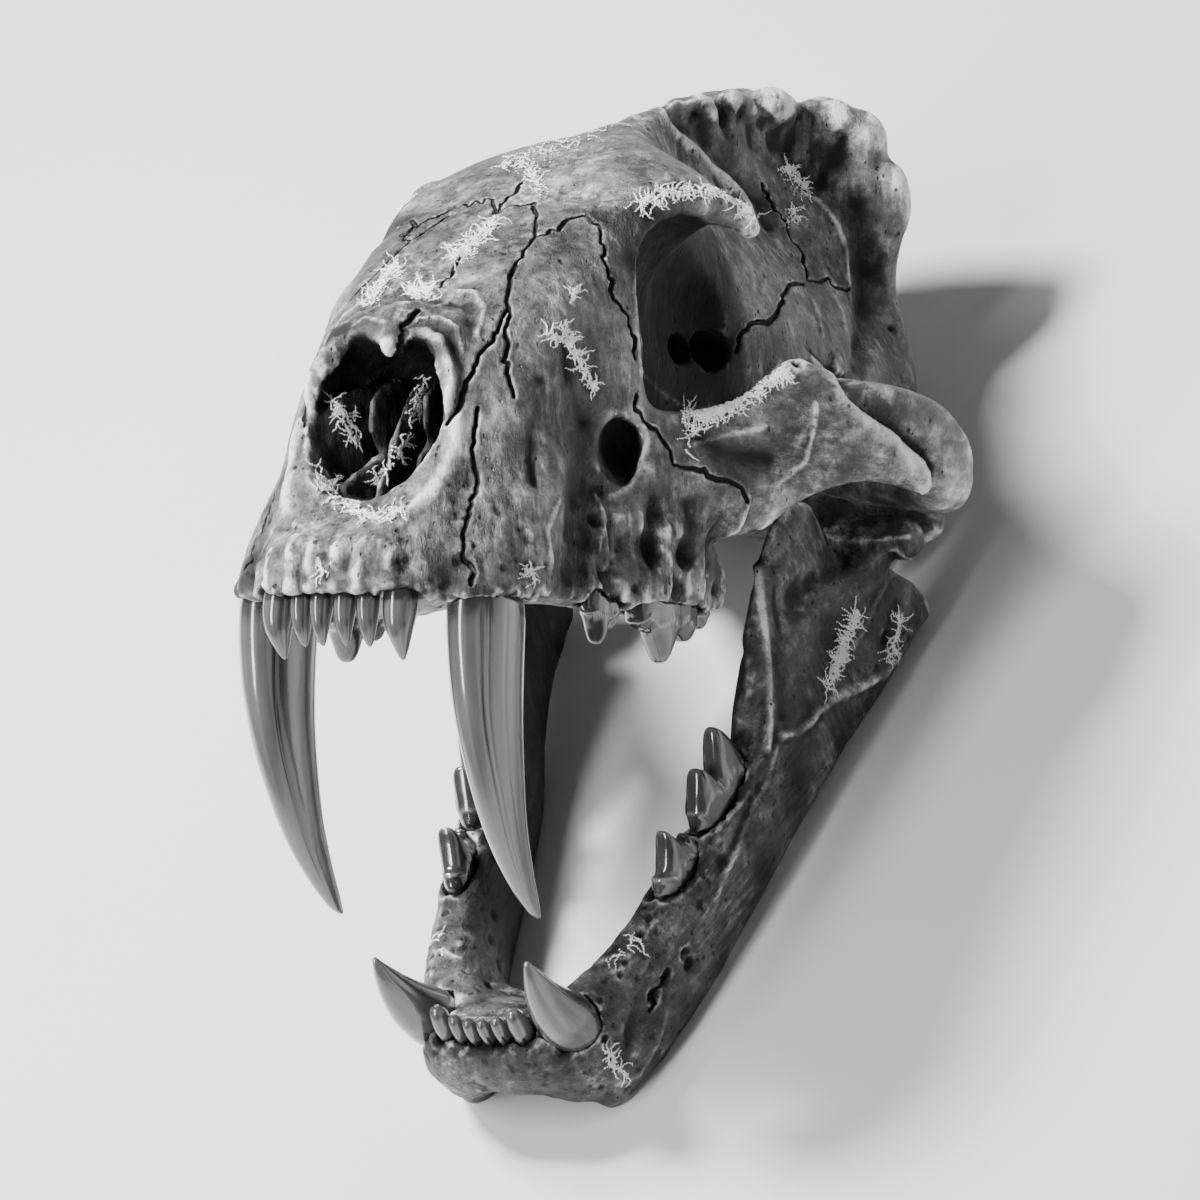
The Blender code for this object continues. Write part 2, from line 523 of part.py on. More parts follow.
def table_cutter():
    """Everything below the table, which wears small flats on what rests there."""
    bm = bmesh.new()
    wide, long, deep = TABLE_BLOCK
    place = Matrix.Translation((0, 0, -deep / 2)) @ Matrix.Diagonal((wide, long, deep, 1.0))
    bmesh.ops.create_cube(bm, size=1, matrix=place)
    return hide_helper(new_object("below_table", bm))


def roller_clearance():
    bm = bmesh.new()
    add_roller(bm, JOINT_RADIUS + JOINT_CLEARANCE, JOINT_INNER - JOINT_END_ROOM, JOINT_OUTER + JOINT_END_ROOM)
    return bm


def main():
    for existing in list(bpy.data.objects):
        bpy.data.objects.remove(existing)
    jaw_frame = place_frame("jaw_frame", JAW_TIP_UP)
    skull_frame = place_frame("skull_frame", JAW_TIP_UP + GAPE)
    below_table = table_cutter()

    upper_cones = {"upper_canine": SABRE}
    upper_cones.update({f"upper_incisor_{i}": rows for i, rows in UPPER_INCISORS.items()})
    upper_sockets = add_teeth(upper_cones, UPPER_BLADES, skull_frame)
    lower_cones = {"lower_canine": LOWER_CANINE}
    lower_cones.update({f"lower_incisor_{i}": rows for i, rows in LOWER_INCISORS.items()})
    lower_sockets = add_teeth(lower_cones, LOWER_BLADES, jaw_frame)

    cranium = new_object("cranium", cranium_shapes(), make_material("fossil_bone", BONE_COLOUR, 0.6))
    mandible = new_object("mandible", mandible_shapes(), make_material("jaw_bone", JAW_COLOUR, 0.6))
    cranium.parent = skull_frame
    mandible.parent = jaw_frame

    helpers = {
        "cranium_hollows": cranium_hollows(),
        "upper_sockets": upper_sockets,
        "joint_clearance": roller_clearance(),
        "mandible_hollows": mandible_hollows(),
        "lower_sockets": lower_sockets,
    }
    helpers = {name: hide_helper(new_object(name, bm)) for name, bm in helpers.items()}
    for name, helper in helpers.items():
        helper.parent = jaw_frame if name in ("mandible_hollows", "lower_sockets") else skull_frame

    shape_bone(cranium, helpers["cranium_hollows"], CRANIUM_TRIANGLES)
    cut(cranium, helpers["upper_sockets"], "sockets")
    cut(cranium, helpers["joint_clearance"], "joint_clearance")
    cut(cranium, below_table, "worn_flats")

    shape_bone(mandible, helpers["mandible_hollows"], MANDIBLE_TRIANGLES)
    cut(mandible, helpers["lower_sockets"], "sockets")
    cut(mandible, below_table, "worn_flats")


main()
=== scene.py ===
"""The looks of a fossil sabre-toothed cat's skull: bone, teeth and mineral crust.

Anatomy is written in millimetres in the skull's own frame: x to the animal's left, forward along
the muzzle and up, from the middle of the jaw joint's axis. The lower jaw is written in the same
frame with its mouth closed. Marks are listed in the photograph's pixels, and each is put on the
bone where the camera's ray through that pixel meets it.
"""

import math

import bmesh
import bpy
import numpy as np
from mathutils import Matrix, Quaternion, Vector
from mathutils.bvhtree import BVHTree
from mathutils.kdtree import KDTree


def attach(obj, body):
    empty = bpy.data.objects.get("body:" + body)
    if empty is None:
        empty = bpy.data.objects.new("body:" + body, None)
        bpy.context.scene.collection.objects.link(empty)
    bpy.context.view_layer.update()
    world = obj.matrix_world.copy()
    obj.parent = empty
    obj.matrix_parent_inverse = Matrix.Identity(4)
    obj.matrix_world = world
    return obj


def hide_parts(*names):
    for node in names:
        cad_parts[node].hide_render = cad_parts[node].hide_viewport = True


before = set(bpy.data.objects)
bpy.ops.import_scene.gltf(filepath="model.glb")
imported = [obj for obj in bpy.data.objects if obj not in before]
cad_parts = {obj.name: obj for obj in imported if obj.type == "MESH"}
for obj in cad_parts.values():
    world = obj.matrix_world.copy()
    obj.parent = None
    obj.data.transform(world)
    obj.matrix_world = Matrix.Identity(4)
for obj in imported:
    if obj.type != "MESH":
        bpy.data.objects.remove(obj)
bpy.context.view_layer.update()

MM = 0.001

# Pose: how far the mouth is open, and how far the lower jaw is tipped up as it rests on a table
GAPE = math.radians(39.7)
JAW_TIP_UP = math.radians(10.7)

# Where the jaw joint's axis stands in the part's frame: above the table, and behind its origin
JOINT_HEIGHT = 40.4
JOINT_BEHIND = 27.8

# Jaw joint: the two condyles are short rollers across the skull
JOINT_RADIUS = 8.0
JOINT_INNER = 47.0
JOINT_OUTER = 80.0
JOINT_CLEARANCE = 0.7

# A tooth's root keeps this gap to its socket
SOCKET_GAP = 0.3

# Half cross-sections of the skull, from the muzzle to the nape. Each is (forward, points), and the
# points (x, up) run from the top midline down the left side to the palate's midline.
SKULL_SECTIONS = (
    (218, ((0, -9), (3, -9), (6, -9), (9, -10), (11, -12), (12, -14),
           (12, -16), (12, -18), (11, -20), (9, -21), (5, -21), (0, -21))),
    (215, ((0, -5), (5, -5), (10, -5), (14, -6), (18, -9), (20, -12),
           (21, -15), (21, -18), (20, -21), (17, -22), (9, -22), (0, -21))),
    (210, ((0, -1), (6, -1), (11, -1), (16, -2), (21, -5), (24, -9),
           (26, -13), (27, -17), (27, -20), (24, -22), (13, -22), (0, -20))),
    (204, ((0, 2), (7, 3), (12, 5), (17, 5), (23, 2), (28, -3),
           (32, -8), (34.5, -14), (36, -19), (35, -23), (18, -22), (0, -18))),
    (199, ((0, 7), (8, 9), (13, 12), (18, 12), (25, 8), (31, 1),
           (35.5, -6), (38.5, -13), (40.5, -18), (40, -23), (20, -22), (0, -16))),
    (194, ((0, 21), (9, 23), (15, 25), (20, 22), (26.5, 15), (32, 6),
           (37, -3), (41.5, -11), (43.5, -17), (43, -23), (21, -22), (0, -14))),
    (189, ((0, 40), (9, 42), (16, 40), (22, 34), (28, 24), (33, 12),
           (38, 1), (43, -9), (44.5, -16), (44.5, -22), (22, -22), (0, -13))),
    (184, ((0, 55), (11, 56), (19, 52), (24, 45), (28.5, 33), (33.5, 19),
           (39, 5), (44, -7), (46, -15), (46, -22), (23, -22), (0, -12))),
    (176, ((0, 60), (13, 61), (22, 57), (28, 48), (34, 36), (39.5, 21),
           (44, 6), (47, -7), (47.5, -15), (46.5, -22), (23, -22), (0, -11))),
    (166, ((0, 66), (14, 66), (25, 63), (33, 54), (39, 40), (43.5, 24),
           (46.5, 8), (48, -6), (48, -14), (46.5, -22), (24, -22), (0, -10))),
    (155, ((0, 74), (15, 74), (28, 71), (36, 63), (41, 48), (44, 31),
           (46, 13), (47, -3), (48, -12), (48.5, -22), (28, -22), (0, -9))),
    (143, ((0, 82), (17, 82), (31, 78), (39, 70), (44, 55), (47, 37),
           (49, 18), (51.5, 1), (53.5, -10), (54, -23), (33, -23), (0, -8))),
    (131, ((0, 89), (19, 89), (34, 85), (42, 77), (46, 62), (49, 44),
           (52, 26), (55, 8), (57, -8), (57.5, -23), (37, -24), (0, -8))),
    (122, ((0, 95), (19, 95), (33, 91), (40, 85), (45.5, 74), (48, 59),
           (50, 42), (54, 26), (58, 4), (59.5, -23), (38, -24), (0, -8))),
    (114, ((0, 100), (19, 100), (34, 97), (42.5, 91), (46, 79), (46, 64),
           (43, 44), (50, 30), (59, 6), (60, -23), (39, -24), (0, -7))),
    (104, ((0, 106), (19, 106), (35, 103), (46, 96), (43, 86), (27, 68),
           (26, 42), (46, 26), (59, 4), (60, -23), (39, -24), (0, -6))),
    (93, ((0, 112), (19, 111), (37, 107), (52, 98), (41, 88), (24, 70),
          (22, 42), (38, 18), (57, 0), (58, -23), (38, -23), (0, -5))),
    (82, ((0, 116.5), (18, 116), (37, 111), (57, 96), (40, 87), (23, 72),
          (19, 42), (26, 12), (50, -5), (55, -21), (33, -21), (0, -3))),
    (72, ((0, 120), (15, 119.5), (31, 114), (48, 101), (36, 88), (23, 72),
          (19, 44), (18, 18), (26, 0), (30, -12), (22, -13), (0, 0))),
    (60, ((0, 123), (11, 122), (22, 116), (32, 104), (28, 90), (23, 74),
          (19, 48), (17, 26), (18, 8), (18, -5), (13, -6), (0, 6))),
    (46, ((0, 128), (6, 126), (13, 118), (22, 104), (26, 90), (27, 74),
          (25, 54), (22, 36), (20, 20), (17, 6), (12, 4), (0, 8))),
    (28, ((0, 134), (5, 130), (8, 119), (18, 102), (27, 86), (33, 68),
          (34, 50), (30, 33), (26, 18), (20, 6), (12, 3), (0, 6))),
    (8, ((0, 138), (5, 133), (8, 119), (17, 100), (30, 82), (38, 62),
         (40, 44), (37, 28), (32, 14), (23, 4), (12, 2), (0, 6))),
    (-14, ((0, 140.5), (6, 135), (9, 120), (18, 99), (31, 79), (40, 60),
           (43, 43), (42, 26), (37, 12), (26, 3), (12, 2), (0, 6))),
    (-36, ((0, 143.5), (8, 138.5), (11, 122), (20, 100), (31, 79), (42, 60),
           (46, 44), (46, 26), (39, 12), (26, 5), (12, 4), (0, 8))),
    (-48, ((0, 143), (12, 138.5), (16, 123), (23, 102), (31, 80), (41, 62),
           (49, 46), (49, 27), (38, 14), (25, 8), (12, 8), (0, 11))),
    (-56, ((0, 142), (17, 139.5), (27, 128), (33, 106), (33, 84), (40, 65),
           (49, 47), (47, 28), (36, 17), (22, 12), (11, 12), (0, 15))),
    (-62, ((0, 140), (19, 138), (32, 128), (39, 105), (37, 84), (43, 66),
           (47, 48), (43, 31), (33, 20), (19, 17), (10, 17), (0, 20))),
    (-67, ((0, 138), (18, 136), (31, 124), (38, 104), (36, 84), (41, 66),
           (42, 50), (36, 34), (26, 26), (16, 22), (8, 22), (0, 24))),
    (-71, ((0, 128), (10, 126), (18, 116), (25, 100), (25, 83), (26, 66),
           (26, 54), (22, 42), (16, 34), (10, 30), (5, 30), (0, 30))),
)

# Upright plates: stations of (x, forward, lowest, highest, half thickness)
CHEEK_BONE = (
    (44, 126, 8, 38, 8), (52, 112, 2, 35, 9), (60, 99, -4, 36, 8), (67, 87, -2, 41, 7),
    (73, 75, 6, 52, 5.5), (78, 66, 11, 50, 5), (84, 54, 15, 41, 5), (88, 42, 15.5, 33, 5),
    (91, 31, 14, 25, 4.5), (92, 21, 13, 18, 3),
)
TEMPLE_BAR = (
    (80, 60, 40, 47, 2.5), (85, 48, 33, 46.5, 4.5), (89, 34, 26, 45, 6.5), (91, 20, 15, 42, 8.5),
    (89, 8, 9, 37, 10.5), (82, -3, 8, 32, 12), (70, -9, 10, 30, 13), (57, -11, 12, 31, 12),
    (43, -12, 14, 31, 9), (32, -12, 17, 28, 5),
)
JOINT_STOP = ((80, -13, 2, 14, 3), (73, -15, -1, 16, 3.5), (62, -16.5, -2, 18, 4), (50, -17, -1, 20, 4))
PALATE_WING = ((21, 78, -20, 4, 4), (20, 64, -16, 8, 3.5), (18, 50, -13, 9, 3), (17, 38, -9, 8, 2.5))

# Round limbs: stations of (x, forward, up, half width across, half depth)
BROW_HOOK = ((38, 92, 100, 9, 8), (48, 84, 98, 7, 6), (56, 77, 94.5, 5, 4.5), (60, 71, 89, 3, 3))
MASTOID = (
    (34, -43, 50, 5, 6), (42, -40, 34, 11, 13), (49, -36, 14, 9, 11), (50, -30, -2, 7, 8),
    (48, -25, -10, 4, 5),
)
PARAMASTOID = ((34, -48, 22, 7, 7), (35, -49, 10, 5, 5), (34, -48, 1, 3, 3))
CHEEK_ROOT_SWELLINGS = (
    ((49, 148, -20, 6, 6), (48, 147, -6, 4, 5), (46, 146, 6, 2, 3)),
    ((50, 138, -20, 6, 5), (50, 137, -6, 4.5, 4), (48, 136, 5, 2, 3)),
    ((56, 124, -20, 5, 7), (55.5, 123, -6, 4, 6), (53, 122, 8, 2, 3)),
    ((57, 106, -20, 5, 7), (57, 105, -6, 4.5, 6), (55, 104, 8, 2, 3)),
)

# Ellipsoids: (x, forward, up) centre and half axes
EAR_CAPSULE = ((27, -22, 6), (11, 16, 11))
NAPE_CONDYLE = ((15, -62.4, 26.1), (11, 10, 11))
CREST_LUMPS = (
    ((1.5, 4, 133.5), (7, 10, 6)), ((2.5, -17, 136.5), (8, 11, 6.5)), ((5, -38, 137.5), (10, 12, 8)),
    ((15, -56, 135), (11, 8, 9)), ((26, -61, 128), (10, 7, 12)), ((35, -64, 110), (8, 6, 14)),
)

# Hollows cut out of the skull
NASAL_OPENING = (
    (230, ((0, 66), (9, 70), (20, 66), (27, 52), (27, 34), (22, 18), (12, 9), (0, 7))),
    (205, ((0, 60), (9, 64), (19, 60), (25, 48), (25, 33), (20, 17), (11, 8), (0, 6))),
    (191, ((0, 53), (9, 60), (18, 55), (23, 44), (23, 32), (19, 17), (11, 7), (0, 5))),
    (183, ((0, 49), (9, 53), (17, 49), (21.5, 40), (21.5, 29), (18, 16), (10, 7), (0, 5))),
    (170, ((0, 48), (8, 50), (15, 46), (19, 38), (19, 28), (16, 15), (9, 7), (0, 5))),
    (152, ((0, 46), (6, 46), (11, 43), (14, 36), (14, 27), (12, 17), (7, 10), (0, 9))),
    (138, ((0, 40), (3, 40), (5, 38), (6, 34), (6, 28), (5, 22), (3, 19), (0, 18))),
)
CHEEK_OPENING = ((64, 153, 16, 9, 10.5), (55, 141, 20, 8.5, 10.5), (48, 131, 24, 6.5, 9), (45, 126, 26, 4, 5))
EYE_NERVE_OPENINGS = (((17, 48, 57), (10, 4.4, 5)), ((24, 38, 57), (10, 6, 6.5)))
THROAT_OPENING = ((0, 50, 0, 12, 6), (0, 68, 3, 12, 8), (0, 84, 6, 10, 7), (0, 98, 8, 6, 4))
SPINE_OPENING = ((0, -44, 34, 7, 6), (0, -58, 34, 11, 9), (0, -84, 34, 13, 11))
NAPE_HOLLOWS = ((21, -78, 84), (17, 12, 34))

# Lower jaw, mouth closed
JAW_BODY = (
    (8, 190, -58, -38, 9), (15, 182, -68, -35, 12), (22, 172, -74, -34, 12), (28, 160, -74, -33, 10.5),
    (32.5, 145, -71, -31, 9.5), (36.5, 128, -68, -27, 9), (39.5, 110, -64, -24, 9), (42.5, 92, -60, -20, 9),
    (45, 76, -57, -14, 8), (49, 60, -53, -5, 7), (53, 45, -49, 5, 6), (57, 30, -46, 6, 5.5),
    (60, 16, -43, 2, 5.5), (62, 4, -41, -3, 6), (63, -5, -38, -15, 5), (63.5, -11, -35, -24, 3.5),
)
CORONOID = (
    (44, 76, -34, -12, 5), (45, 68, -30, -3, 5.5), (47, 56, -24, 11, 5), (49, 46, -20, 21, 4.5),
    (51, 37, -14, 29, 4), (53, 28, -8, 33, 3.5), (54, 20, -6, 32, 3), (55, 14, -6, 26, 2.5),
)
JAW_NECK = ((60, 20, -14, 5, 6), (62, 10, -8, 8, 7), (63, 1, -1, 13, 6.5))
CHIN_FLANGE = ((22, 176, -50, 9, 12), (23, 174, -64, 8, 10), (24, 171, -74, 6, 8))
JAW_ANGLE = ((61, 6, -28, 6, 9), (63, -4, -32, 6, 7), (65, -11, -33, 5, 5))
MASSETER_HOLLOW = (
    (60.5, 76, -36, 4, 7), (62, 60, -26, 6, 12), (66.5, 40, -17, 7.5, 18), (70.5, 20, -13, 7.5, 18),
    (72.5, 3, -14, 5, 13),
)
MENTAL_OPENINGS = (((43, 141, -50), (4, 3, 2.2)), ((38, 152, -46), (4, 2.4, 2)))

CHIN_SECTIONS = (
    (199, ((0, -42), (4, -42), (9, -43), (12, -45), (12, -47), (9, -50), (5, -51), (0, -50))),
    (195, ((0, -36), (8, -36), (14, -36), (19, -39), (20, -46), (17, -55), (9, -56), (0, -54))),
    (187, ((0, -34), (8, -34), (16, -34), (24, -36), (28, -46), (26, -60), (14, -61), (0, -57))),
    (178, ((0, -36), (8, -36), (16, -35), (26, -34), (32, -46), (29, -64), (16, -64), (0, -59))),
    (168, ((0, -43), (8, -42), (16, -40), (26, -36), (34, -46), (31, -64), (17, -65), (0, -59))),
    (159, ((0, -50), (8, -49), (15, -46), (24, -42), (32, -47), (31, -62), (19, -62), (0, -57))),
    (152, ((0, -54), (6, -53), (12, -52), (19, -49), (25, -51), (24, -58), (14, -59), (0, -56))),
)

# Teeth. Cones: stations of (x, forward, up, half width, half depth), root first
SABRE = (
    (32.5, 175.5, 7, 4, 7), (33, 180, -4, 6, 10.5), (34, 183.4, -14, 7.6, 13.6), (34.8, 185.4, -26, 9.1, 16),
    (35, 185.2, -42, 8.8, 15.2), (35, 183, -57, 8, 13.4), (34.8, 178.6, -72, 6.9, 11),
    (34.4, 172.3, -87, 5.4, 8.2), (34, 164, -100, 3.7, 5.3), (33.7, 156, -109.5, 2, 2.8),
    (33.5, 151.5, -113.5, 0.6, 0.8),
)
UPPER_INCISORS = {
    1: ((3.9, 208, -11, 1.8, 2.6), (3.9, 210.6, -19, 2.9, 3.9), (3.9, 211.8, -25, 3.2, 4),
        (3.9, 212, -30, 2.6, 3), (3.9, 211, -34.4, 1.3, 1.4), (3.9, 210.4, -36, 0.4, 0.5)),
    2: ((10.8, 207, -11, 1.9, 2.7), (10.9, 209.6, -19, 3, 4), (11, 210.8, -25, 3.2, 4.1),
        (11, 210.8, -30, 2.7, 3.1), (10.9, 209.6, -34.6, 1.4, 1.5), (10.8, 209, -36.2, 0.4, 0.5)),
    3: ((19, 202.4, -6, 2.6, 3.4), (19.6, 206, -16, 4.2, 5.2), (20.1, 208, -24, 4.9, 5.7),
        (20.2, 208.6, -30, 4.2, 4.8), (20, 207, -36, 2.3, 2.6), (19.8, 205.6, -39.8, 0.6, 0.7)),
}
LOWER_CANINE = (
    (23, 169, -54, 3.6, 4.6), (23.2, 175.5, -46, 6.6, 7.8), (23.5, 181.6, -38, 7.7, 9.2),
    (24.2, 187, -29, 7, 8), (24.9, 190.4, -20, 5.3, 5.8), (25.5, 192.3, -11.5, 3, 3.2),
    (25.9, 193, -5, 0.7, 0.8),
)
LOWER_INCISORS = {
    1: ((2.4, 186, -46, 1.4, 2), (2.4, 190.5, -38, 1.9, 3.1), (2.4, 192.6, -33, 2, 3.2),
        (2.4, 193.6, -29.4, 1.9, 2.3), (2.4, 193.8, -27.6, 1.3, 1.2)),
    2: ((7.2, 185.4, -46, 1.4, 2), (7.2, 190, -38, 2, 3.2), (7.2, 192, -33, 2.1, 3.3),
        (7.2, 193, -29, 2, 2.4), (7.2, 193.2, -27, 1.4, 1.2)),
    3: ((12.8, 185, -47, 1.7, 2.4), (13, 189.4, -38, 2.7, 3.6), (13, 191, -32, 2.9, 3.8),
        (13, 191.6, -27.4, 2.6, 2.9), (13, 191.6, -25, 1.8, 1.6)),
}

# Teeth. Blades: stations along the row of (x, forward, cutting edge, root end, half thickness)
UPPER_BLADES = {
    "upper_premolar": (
        (48.4, 151.4, -24.5, -18, 1.6), (48.4, 149.6, -26.5, -15, 3.1), (48.2, 147.6, -30, -13, 3.7),
        (48.2, 145.4, -34.5, -12, 3.9), (48.3, 143.2, -31.5, -12.5, 3.8), (48.6, 141.2, -28.5, -13, 3.6),
        (49, 139.4, -29.8, -13.5, 3.4), (49.4, 137.6, -27.5, -15, 2.8), (49.8, 136.2, -25, -18, 1.4),
    ),
    "upper_carnassial": (
        (52, 132.6, -25, -18, 2), (52.4, 130.2, -28.5, -14, 3.9), (52.8, 127.6, -30, -12, 4.5),
        (53.2, 124.4, -30.5, -11, 4.7), (53.5, 120.8, -35.5, -10, 4.9), (53.7, 117.6, -39.5, -10, 4.9),
        (53.8, 114.6, -36.5, -10, 4.7), (53.8, 111.4, -31.5, -10.5, 4.4), (53.8, 108, -31.6, -11, 4.3),
        (53.6, 104.4, -33, -11, 4), (53.4, 100.8, -32.2, -12, 3.6), (53.2, 97.8, -28, -14, 2.6),
        (53, 96, -25, -18, 1.2),
    ),
    "upper_molar": (
        (51, 92.6, -24.5, -17, 1.4), (51, 91, -26.8, -14.5, 3), (51, 89.2, -29, -13, 3.6),
        (51, 87.4, -27, -14, 3.1), (51, 85.8, -24, -17, 1.4),
    ),
}
LOWER_BLADES = {
    "lower_premolar": (
        (35.6, 134.6, -28, -38, 1.4), (36, 132.2, -24.5, -41, 3.1), (36.6, 129.2, -23, -43, 3.9),
        (37.2, 126, -18, -45, 4.3), (37.7, 123.2, -13.4, -45, 4.3), (38.2, 120.4, -18, -45, 4.2),
        (38.6, 117.6, -21.2, -44, 3.9), (38.9, 115.4, -20.6, -42, 3.3), (39.2, 113.4, -25, -37, 1.5),
    ),
    "lower_carnassial": (
        (39, 110.4, -24, -35, 1.6), (39.5, 107.4, -18.4, -40, 3.7), (40.1, 104, -12.4, -42, 4.5),
        (40.7, 100.8, -8.4, -43, 4.8), (41.2, 98, -10.4, -43, 4.8), (41.7, 95.4, -14.6, -42.5, 4.7),
        (42.2, 92.4, -8.4, -42, 4.6), (42.8, 88.8, -2.4, -41, 4.4), (43.3, 85.8, -4.4, -39, 3.9),
        (43.7, 83.4, -10, -36, 3.1), (44, 81.4, -17, -31, 1.5),
    ),
}

# The skins of the two bones: grids in millimetres, rounds of smoothing, and most triangles
FUSE_VOXEL = 1.6
SKIN_VOXEL = 1.05
SKIN_SMOOTHING = 7
CRANIUM_LIMIT = 197_000
MANDIBLE_LIMIT = 120_000

# The skin's edges are split this near to a crack, in millimetres
REFINED = 2.4

# Rays from each point of a bone that tell how open to the air it is, and how far they look
AIR_RAYS = 9
AIR_REACH = 45.0

# Rings between two stations of a tooth, and faces round a ring
TOOTH_STEPS = 6
TOOTH_SIDES = 48
SABRE_SIDES = 144

# The photograph's camera, in the skull's frame, and its picture in pixels
CAMERA_PLACE = Vector((0.98530, -1.79372, -0.06429))
CAMERA_RIGHT = Vector((0.8697, 0.4935, 0.0090))
CAMERA_UP = Vector((0.0032, -0.0240, 0.9997))
CAMERA_BACK = Vector((0.4936, -0.8694, -0.0225))
CAMERA_LENS = 196.746
CAMERA_SENSOR = 36.0
PICTURE = 1200

JOINT_PLACE = Matrix.Translation(Vector((0, JOINT_BEHIND, JOINT_HEIGHT)) * MM)
SKULL_PLACE = JOINT_PLACE @ Matrix.Rotation(-(JAW_TIP_UP + GAPE), 4, "X")
JAW_PLACE = JOINT_PLACE @ Matrix.Rotation(-JAW_TIP_UP, 4, "X")

# Shapes that only the looks have. Limbs: stations of (x, forward, up, half width across, half depth)
NASAL_TONGUE = (
    (11, 177, 57, 5, 3), (16, 181.5, 52, 4, 2.8), (19.8, 185, 45.5, 3.2, 2.6), (22, 187, 39, 2.5, 2.2),
    (23, 187.6, 34, 1.5, 1.5), (23.2, 187.6, 31.5, 0.6, 0.7),
)
NASAL_BEAK = (
    (0, 174, 61, 9, 4), (2, 181.5, 57.5, 6.5, 3.5), (3.2, 186, 53.5, 4, 2.8), (4, 188.5, 49.5, 2.8, 2.2),
    (4.2, 189.4, 46.5, 1.2, 1.2),
)
# The nose's thin scrolls, as upright plates: stations of (x, forward, lowest, highest, half thickness)
NASAL_SCROLLS = (
    ((20, 184, 22, 34, 0.9), (17, 177, 14, 40, 1.3), (14.5, 168, 12, 42, 1.4), (13, 158, 14, 40, 1.4)),
    ((9, 178, 26, 36, 0.8), (8.5, 172, 18, 42, 1.2), (7, 164, 14, 44, 1.3), (7, 156, 14, 42, 1.2)),
    ((13, 186, 9, 12, 0.8), (9, 180, 9, 18, 1.1), (6, 172, 10, 22, 1.2), (6, 160, 12, 24, 1.2)),
)
NASAL_SEPTUM = ((0, 190, 3, 8, 1.0), (0, 182, 4, 20, 1.1), (0, 172, 6, 38, 1.1), (0, 160, 10, 44, 1.2))

# The eye socket's bowls: (x, forward, up) centre and half axes
EYE_BOWLS = (((46, 91, 66), (21, 29, 28)), ((34, 58, 66), (15, 22, 26)))

# Marks listed in the photograph's pixels. Trails are drawn on the left side and repeated on
# the right one.
SKULL_CRACKS = (
    ((497, 213), (491, 199), (476, 203), (458, 208), (440, 215), (421, 224), (402, 241)),
    ((523, 182), (510, 198), (497, 213), (515, 207), (533, 201), (535, 215), (535, 236)),
    ((535, 236), (525, 252), (514, 268), (509, 289), (509, 308), (500, 325), (491, 341), (480, 356),
     (472, 372), (466, 388), (460, 404), (453, 415), (447, 424)),
    ((535, 236), (556, 229), (570, 219), (584, 215), (602, 229), (604, 252), (609, 275), (614, 299),
     (628, 313), (633, 334), (635, 358)),
    ((509, 308), (505, 330), (505, 350), (509, 378), (514, 397)),
    ((478, 408), (475, 430), (474, 455), (479, 482), (471, 508), (466, 530), (464, 553), (475, 569),
     (471, 584)),
    ((463, 252), (452, 270), (441, 288)),
    ((419, 310), (406, 326), (399, 342), (398, 356)),
    ((637, 395), (635, 410), (651, 427), (664, 440), (671, 452), (674, 465), (695, 469), (723, 480),
     (742, 488), (748, 502)),
    ((804, 284), (787, 284), (783, 296), (778, 312), (769, 321), (750, 323), (738, 338), (736, 352)),
    ((763, 183), (774, 202), (784, 218), (788, 231), (797, 245), (804, 262), (807, 282), (820, 282),
     (827, 279), (841, 288), (851, 288)),
)
JAW_CRACKS = (
    ((661, 984), (657, 996), (652, 1010)),
)
# Raised lines: sharp edges and scars of muscles
SKULL_THICK_RIDGES = (
    ((663, 112), (666, 123), (676, 132), (698, 150), (712, 167), (726, 180), (738, 192), (748, 206),
     (752, 218)),
    ((438, 338), (446, 352), (451, 368), (452, 384), (450, 398), (447, 409)),
    ((401, 348), (405, 338), (416, 331), (429, 333), (438, 342)),
    ((346, 344), (352, 334), (366, 330), (378, 336), (386, 346)),
    ((456, 418), (455, 444), (446, 468), (430, 492), (410, 508)),
)
SKULL_RIDGES = (
    ((663, 110), (676, 103), (692, 101), (712, 102)),
    ((802, 190), (820, 202), (836, 222), (847, 248), (850, 284)),
    ((814, 404), (812, 434), (805, 462), (777, 484)),
    ((695, 443), (723, 436), (765, 427)),
    ((640, 470), (630, 486), (612, 497)),
    ((640, 372), (652, 384), (668, 398), (690, 408), (714, 410), (740, 402), (762, 384), (780, 362)),
    ((636, 248), (635, 275), (635, 300), (636, 330), (638, 355), (643, 378)),
    ((440, 306), (456, 292), (474, 292), (484, 310), (476, 336)),
    ((404, 326), (420, 318), (440, 318), (456, 330), (462, 350)),
    ((352, 326), (366, 318), (384, 322)),
    ((748, 506), (742, 522), (738, 532)),
    ((640, 468), (648, 440), (640, 412)),
    ((812, 300), (818, 318), (822, 334)),
    ((834, 296), (842, 312), (846, 330)),
    ((560, 500), (548, 530), (552, 560)),
    ((600, 495), (606, 520), (600, 548)),
)
